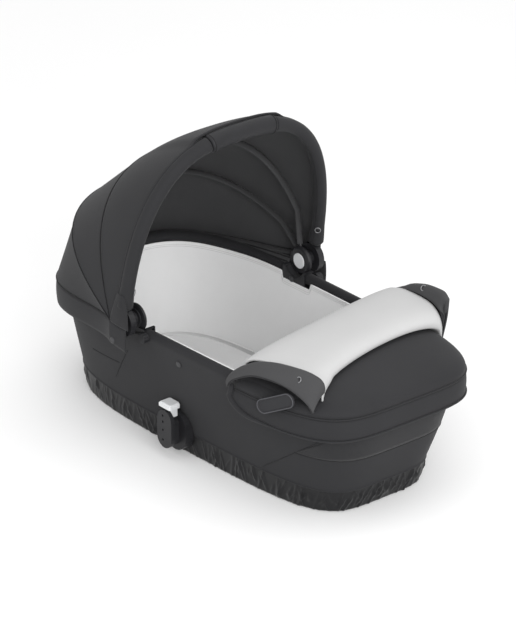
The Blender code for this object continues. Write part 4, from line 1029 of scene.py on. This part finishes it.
def build_left_end():
    """Dark padded band that stands up at the white flap's left end."""
    count = 72
    top = soft_path(LEFT_TOP, count)
    high = soft_path(LEFT_HIGH, count)
    lines = []
    for k in range(17):
        share = k / 16
        line = []
        for a, b in zip(top, high):
            foot = Vector((b.x, apron_half_width(b.x) + 0.004, 0.226))
            if share < 0.4:
                place = a.lerp(b, share / 0.4) + Vector((0.0, -0.3, 0.9)) * 0.003 * sin(pi * share / 0.4)
            else:
                fall = (share - 0.4) / 0.6
                place = b.lerp(foot, fall) + Vector((0.0, 1.0, 0.0)) * 0.004 * sin(pi * fall)
            line.append(place)
        lines.append(line)
    band = skin("flap_end_left_cloth", lines, True)
    dress(band, ["outer_cloth", "hood_lining"], "tub", ["flap_end_left"], 0.0040)
    dress(tube("flap_end_left_binding", top, 0.0022, 8), "outer_cloth")
    out = Vector((0.1, -0.82, 0.56)).normalized()
    build_snap("flap_snap_left", Vector((0.232, 0.2165, 0.3025)), out, "tub")


# Hood

def bow_normal(bow):
    return Vector((cos(bow.tilt), 0.0, -sin(bow.tilt)))


def front_edge(count):
    """Edge of the hood cloth on the back of the front bow's sleeve, and on the back of the grip."""
    back = -bow_normal(FRONT_BOW)
    arch = bow_arch(FRONT_BOW, 0.0, count, HUB_RADIUS + 0.0003)
    edge = []
    for i, point in enumerate(arch):
        along = arch[min(i + 1, count - 1)] - arch[max(i - 1, 0)]
        out = along.cross(back).normalized()
        beside = ease((GRIP_LENGTH / 2 + 0.032 - abs(point.y)) / 0.02)
        reach = mix(BOW_TUBE + 0.0022, GRIP_RADIUS + 0.0030, beside)
        edge.append(point + (out + back).normalized() * reach)
    return edge


def hood_edges(ahead, behind, count):
    middle = (ahead.tilt + behind.tilt) / 2
    shift = Vector((sin(middle), 0.0, cos(middle))) * 0.0006
    last = [point + shift for point in seam_arch(behind, 0.0, count)]
    if ahead is FRONT_BOW:
        return front_edge(count), last
    return [point + shift for point in seam_arch(ahead, 0.0, count)], last


def hood_lines(ahead, behind, columns, rows):
    """Cloth stretched between two arches."""
    first, last = hood_edges(ahead, behind, columns + 1)
    bulge = 0.009 if ahead is FRONT_BOW else 0.0
    lines = []
    for k in range(rows + 1):
        share = k / rows
        line = []
        for i, (p, q) in enumerate(zip(first, last)):
            place = p.lerp(q, share)
            out = Vector((place.x - HUB.x, 0.0, place.z - HUB.z)).normalized()
            line.append(place + out * bulge * 4 * share * (1 - share) * sin(pi * i / columns))
        lines.append(line)
    return lines


def fold_span(ahead, behind):
    middle = (ahead.tilt + behind.tilt) / 2
    across = Vector((cos(middle), 0.0, -sin(middle))) * 0.032
    return HUB - across, HUB + across


def build_hood():
    panels = (("canopy_front", FRONT_BOW, SECOND_BOW, "bow_2", "handle"),
              ("canopy_middle", SECOND_BOW, THIRD_BOW, "bow_3", "bow_2"),
              ("canopy_rear", THIRD_BOW, REAR_BOW, "tub", "bow_3"))
    for name, ahead, behind, low, high in panels:
        cloth = skin(name + "_cloth", hood_lines(ahead, behind, 120, 20))
        start, end = fold_span(ahead, behind)
        dress(cloth, ["outer_cloth", "hood_lining"], (low, high, start, end), [name], 0.0018)
    for number, bow, body in ((2, SECOND_BOW, "bow_2"), (3, THIRD_BOW, "bow_3"), (4, REAR_BOW, "tub")):
        seam = seam_arch(bow, -0.0008, 161)
        dress(tube(f"hood_seam_{number}", seam, 0.0009, 6), "seam_cloth", body)
        arch = bow_arch(bow, 0.0085 if number < 4 else 0.0075, 121, 0.090)
        feet = [bow_place(bow, side * EYES[number], 0.0295) for side in (-1, 1)]
        tunnel = [feet[0].lerp(arch[0], k / 8) for k in range(8)] + arch
        tunnel += [arch[-1].lerp(feet[1], k / 8) for k in range(1, 9)]
        lining = tube(f"hood_tunnel_{number}", tunnel, 0.0064, 14, False, 0.5, bow_normal(bow))
        dress(lining, "hood_lining", body)


def build_hood_band():
    """Dark band inside the hood, from its rear bow down to the liner."""
    columns = 160
    high = bow_arch(REAR_BOW, 0.0115, columns + 1, 0.030)
    rim = [outline_point(RIM, pi * (1 + (i / 720 - 0.5) * 0.98), -0.0105, -0.004) for i in range(721)]
    low = [point for point in rim if point.x < -0.118]
    low = spread(low[::-1] if low[0].y > 0 else low, columns + 1)
    lines = []
    for k in range(9):
        share = k / 8
        lines.append([p.lerp(q, share) for p, q in zip(high, low)])
    band = skin("hood_band_cloth", lines)
    dress(band, "hood_lining", "tub", (), 0.0010)
    for number, inset in ((1, 0.0140), (2, 0.0040)):
        piping = bow_arch(REAR_BOW, 0.0115 + inset * 0.2, columns + 1, 0.032)
        piping = [p.lerp(q, inset / 0.04) for p, q in zip(piping, low)]
        dress(tube(f"hood_band_piping_{number}", piping, 0.0014, 8), "seam_cloth")


def build_hood_skirt():
    """Cloth that hangs from the hood's last seam over the rim, round the head end."""
    seam = seam_arch(REAR_BOW, 0.0, 121)
    ends = [Vector((-0.066, y, 0.247)) for y in (-SEAM_FOOT_SIDE, SEAM_FOOT_SIDE)]
    tail = 10
    right = [ends[0].lerp(seam[0], i / tail) for i in range(tail)]
    left = [seam[-1].lerp(ends[1], (i + 1) / tail) for i in range(tail)]
    lines = []
    for k in range(8):
        share = k / 7
        drop = mix(0.0455, 0.0003, share)
        line = []
        for point in right + seam + left:
            out = Vector((point.x - TUB_X, point.y * 2.5, 0.0)).normalized()
            line.append(point - Vector((0.0, 0.0, drop)) + out * 0.0016 * sin(pi * share))
        lines.append(line)
    skirt = skin("hood_skirt_cloth", lines, True)
    dress(skirt, ["outer_cloth", "hood_lining"], "tub", ["hood_skirt"], 0.0018)


def build_sleeves():
    """Padded cloth sleeves on the front bow, on both sides of the grip."""
    arch = bow_arch(FRONT_BOW, 0.0, 401, 0.0315)
    middle = GRIP_LENGTH / 2 + 0.0012
    normal = bow_normal(FRONT_BOW)
    for name, side in SIDES:
        path = [point for point in arch if side * point.y > middle]
        if side > 0:
            path = path[::-1]
        path = spread(path, 110)
        radii = []
        for i in range(110):
            share = i / 109
            radii.append(0.0130 + 0.0020 * ease(1 - share / 0.12) - 0.0024 * ease(1 - share / 0.010)
                         + 0.0012 * ease((share - 0.9) / 0.1))
        sleeve = tube(f"bow_sleeve_{name}", path, radii, 28, False, 1.0, normal)
        dress(sleeve, "outer_cloth", "handle")
        rings = hoops(path, [radius + 0.0001 for radius in radii], 28, False, 1.0, normal)
        for part, k in (("inner", 17), ("outer", 5)):
            line = [hoop[k if side > 0 else 28 - k] for hoop in rings]
            seam = tube(f"bow_sleeve_{part}_seam_{name}", line, 0.0006, 6)
            dress(seam, "seam_cloth", "handle")
    edge = front_edge(161)[8:-8]
    dress(tube("canopy_edge_piping", edge, 0.0024, 10), "outer_cloth", "handle")
    for name, side in SIDES:
        out = (normal - Vector((0.0, side * 0.9, 0.0))).normalized()
        place = bow_place(FRONT_BOW, side * FRONT_BOW.side, 0.066) + out * 0.0136
        build_snap(f"sleeve_snap_{name}", place, out, "handle")


def build_snap(name, place, out, body):
    """A small domed press stud with a thin ring, facing out of the cloth."""
    path = [place + out * height for height in (-0.0010, 0.0008, 0.0014, 0.0018)]
    dress(tube(name, path, [0.0042, 0.0042, 0.0034, 0.0018], 20), "black_plastic", body)
    ring_path = hoops([place + out * 0.0012, place + out * 0.0018], 0.0052, 24)[0]
    dress(tube(name + "_ring", ring_path, 0.0009, 6, True), "snap_ring", body)


def build_hub_covers():
    """Cloth corner of the front panel that hides each outer hinge socket, shorter on the left."""
    back = soft_path([(-0.1130, 0.2398, 0.2515), (-0.1075, 0.2402, 0.2680), (-0.1000, 0.2402, 0.2880),
                      (-0.0885, 0.2400, 0.3150)], 25)
    ahead = soft_path([(-0.0610, 0.2385, 0.2470), (-0.0600, 0.2400, 0.2620), (-0.0640, 0.2385, 0.2880),
                       (-0.0700, 0.2400, 0.3150)], 25)
    for (name, side), reach in zip(SIDES, (0.55, 1.0)):
        lines = []
        for p, q in zip(back, ahead):
            line = []
            for k in range(17):
                place = p.lerp(q, reach * k / 16)
                line.append(Vector((place.x, side * (place.y + 0.0022 * sin(pi * k / 16)), place.z)))
            lines.append(line)
        cover = skin(f"hub_cover_{name}", lines, side > 0)
        dress(cover, "outer_cloth", "handle", (), 0.0016)


def build_grip():
    """Stitched leather skin of the handle, with a raised collar at each end."""
    path = []
    radii = []
    for i in range(61):
        across = GRIP_LENGTH * (i / 60 - 0.5)
        share = abs(across) / FRONT_BOW.side
        up = FRONT_BOW.reach * (1 - share ** FRONT_BOW.power) ** (1 / FRONT_BOW.power)
        path.append(bow_place(FRONT_BOW, across, up))
        away = 1 - abs(across) / (GRIP_LENGTH / 2)
        radii.append(GRIP_RADIUS - 0.0035 * (1 - ease(away / 0.025)) - 0.0006 * ease(away / 0.5))
    normal = bow_normal(FRONT_BOW)
    grip = tube("grip_skin", path, radii, 40, False, 1.0, normal)
    dress(grip, "grip_leather", "handle", ["grip"])
    for name, end in (("left", 58), ("right", 2)):
        collar = hoops(path, radii, 40, False, 1.0, normal)[end]
        dress(tube(f"grip_collar_{name}", collar, 0.0010, 8, True), "seam_cloth", "handle")


# Settings and operators

class CarrycotSettings(bpy.types.PropertyGroup):
    outer_colour: bpy.props.FloatVectorProperty(
        name="Outer cloth", description="Colour of the dark outer cloth", subtype="COLOR", min=0.0, max=1.0,
        default=(0.021, 0.021, 0.023))
    hood_lining_colour: bpy.props.FloatVectorProperty(
        name="Hood lining", description="Colour of the cloth inside the hood", subtype="COLOR", min=0.0,
        max=1.0, default=(0.052, 0.052, 0.054))
    hem_colour: bpy.props.FloatVectorProperty(
        name="Hem", description="Colour of the gathered hem", subtype="COLOR", min=0.0, max=1.0,
        default=(0.007, 0.007, 0.008))
    lining_colour: bpy.props.FloatVectorProperty(
        name="Lining", description="Colour of the liner and the mattress", subtype="COLOR", min=0.0,
        max=1.0, default=(0.95, 0.95, 0.95))
    # Painted shade: the flap's pale side is the same white cloth as the liner, set to about half its colour
    # to hold back the extra light it takes
    flap_colour: bpy.props.FloatVectorProperty(
        name="Flap", description="Colour of the flap's pale side", subtype="COLOR", min=0.0, max=1.0,
        default=(0.53, 0.53, 0.53))
    plastic_colour: bpy.props.FloatVectorProperty(
        name="Plastic", description="Colour of the hinges and adapters", subtype="COLOR", min=0.0, max=1.0,
        default=(0.016, 0.016, 0.018))
    button_colour: bpy.props.FloatVectorProperty(
        name="Buttons", description="Colour of the buttons", subtype="COLOR", min=0.0, max=1.0,
        default=(0.74, 0.75, 0.76))
    grip_colour: bpy.props.FloatVectorProperty(
        name="Grip", description="Colour of the leather grip", subtype="COLOR", min=0.0, max=1.0,
        default=(0.018, 0.018, 0.020))
    stud_colour: bpy.props.FloatVectorProperty(
        name="Studs", description="Colour of the press studs", subtype="COLOR", min=0.0, max=1.0,
        default=(0.05, 0.05, 0.053))
    wrinkles: bpy.props.IntProperty(
        name="Wrinkles", description="Number of wrinkles round the hem", min=0, max=1000, default=420)
    wrinkle_height: bpy.props.FloatProperty(
        name="Wrinkle height", description="How far the hem's wrinkles stand out", subtype="DISTANCE",
        unit="LENGTH", min=0.0, max=0.004, default=0.0030)
    floor_glow: bpy.props.FloatProperty(
        name="Floor glow", description="How much lighter the floor is seen than it is lit", min=0.0, max=1.0,
        default=0.12)
    sky_strength: bpy.props.FloatProperty(
        name="Sky", description="Strength of the even light from all round", min=0.0, max=2.0, default=0.95)
    top_watts: bpy.props.FloatProperty(
        name="Top softbox", description="Power of the softbox over the carrycot", unit="POWER", min=0.0,
        default=14.0)
    front_watts: bpy.props.FloatProperty(
        name="Front softbox", description="Power of the softbox in front", unit="POWER", min=0.0,
        default=50.0)


def settings():
    return bpy.context.scene.carrycot


class CARRYCOT_OT_stage(bpy.types.Operator):
    """Set up the floor, the lights and the camera"""
    bl_idname = "carrycot.stage"
    bl_label = "Stage"

    def execute(self, context):
        build_stage()
        return {"FINISHED"}


class CARRYCOT_OT_solid_finishes(bpy.types.Operator):
    """Give the solid parts their finishes"""
    bl_idname = "carrycot.solid_finishes"
    bl_label = "Solid parts"

    def execute(self, context):
        build_solid_finishes()
        build_label_rim()
        return {"FINISHED"}


class CARRYCOT_OT_cover(bpy.types.Operator):
    """Sew the outer cover, its seams and its netted strip"""
    bl_idname = "carrycot.cover"
    bl_label = "Outer cover"

    def execute(self, context):
        build_cover()
        return {"FINISHED"}


class CARRYCOT_OT_hem(bpy.types.Operator):
    """Gather the hem round the foot of the cover"""
    bl_idname = "carrycot.hem"
    bl_label = "Hem"

    def execute(self, context):
        build_hem()
        return {"FINISHED"}


class CARRYCOT_OT_liner(bpy.types.Operator):
    """Hang the pale liner with its piping and stitches"""
    bl_idname = "carrycot.liner"
    bl_label = "Liner"

    def execute(self, context):
        build_liner()
        return {"FINISHED"}


class CARRYCOT_OT_mattress(bpy.types.Operator):
    """Fill the mattress and pipe its edge"""
    bl_idname = "carrycot.mattress"
    bl_label = "Mattress"

    def execute(self, context):
        build_mattress()
        return {"FINISHED"}


class CARRYCOT_OT_apron(bpy.types.Operator):
    """Stretch the apron over the foot end, with its skirt"""
    bl_idname = "carrycot.apron"
    bl_label = "Apron"

    def execute(self, context):
        build_apron()
        return {"FINISHED"}


class CARRYCOT_OT_flap(bpy.types.Operator):
    """Fold the apron's flap back, with its dark ends"""
    bl_idname = "carrycot.flap"
    bl_label = "Flap"

    def execute(self, context):
        build_flap()
        return {"FINISHED"}


class CARRYCOT_OT_hood(bpy.types.Operator):
    """Stretch the hood's panels over its bows, with its skirt"""
    bl_idname = "carrycot.hood"
    bl_label = "Hood"

    def execute(self, context):
        build_hood()
        build_hood_band()
        build_hood_skirt()
        return {"FINISHED"}


class CARRYCOT_OT_handle(bpy.types.Operator):
    """Cover the front bow with its sleeves and its leather grip"""
    bl_idname = "carrycot.handle"
    bl_label = "Handle"

    def execute(self, context):
        build_sleeves()
        build_hub_covers()
        build_grip()
        return {"FINISHED"}


OPERATORS = (CARRYCOT_OT_stage, CARRYCOT_OT_solid_finishes, CARRYCOT_OT_cover, CARRYCOT_OT_hem,
             CARRYCOT_OT_liner, CARRYCOT_OT_mattress, CARRYCOT_OT_apron, CARRYCOT_OT_flap, CARRYCOT_OT_hood,
             CARRYCOT_OT_handle)


class CARRYCOT_PT_panel(bpy.types.Panel):
    """Sizes, colours and building steps of the carrycot"""
    bl_idname = "CARRYCOT_PT_panel"
    bl_label = "Carrycot"
    bl_space_type = "VIEW_3D"
    bl_region_type = "UI"
    bl_category = "Carrycot"

    def draw(self, context):
        for name in CarrycotSettings.__annotations__:
            self.layout.prop(context.scene.carrycot, name)
        for operator in OPERATORS:
            self.layout.operator(operator.bl_idname)


CLASSES = (CarrycotSettings,) + OPERATORS + (CARRYCOT_PT_panel,)


def register():
    for kind in CLASSES:
        bpy.utils.register_class(kind)
    bpy.types.Scene.carrycot = bpy.props.PointerProperty(type=CarrycotSettings)


def unregister():
    del bpy.types.Scene.carrycot
    for kind in reversed(CLASSES):
        bpy.utils.unregister_class(kind)


def main():
    register()
    for operator in OPERATORS:
        group, name = operator.bl_idname.split(".")
        getattr(getattr(bpy.ops, group), name)()


if __name__ == "__main__":
    main()
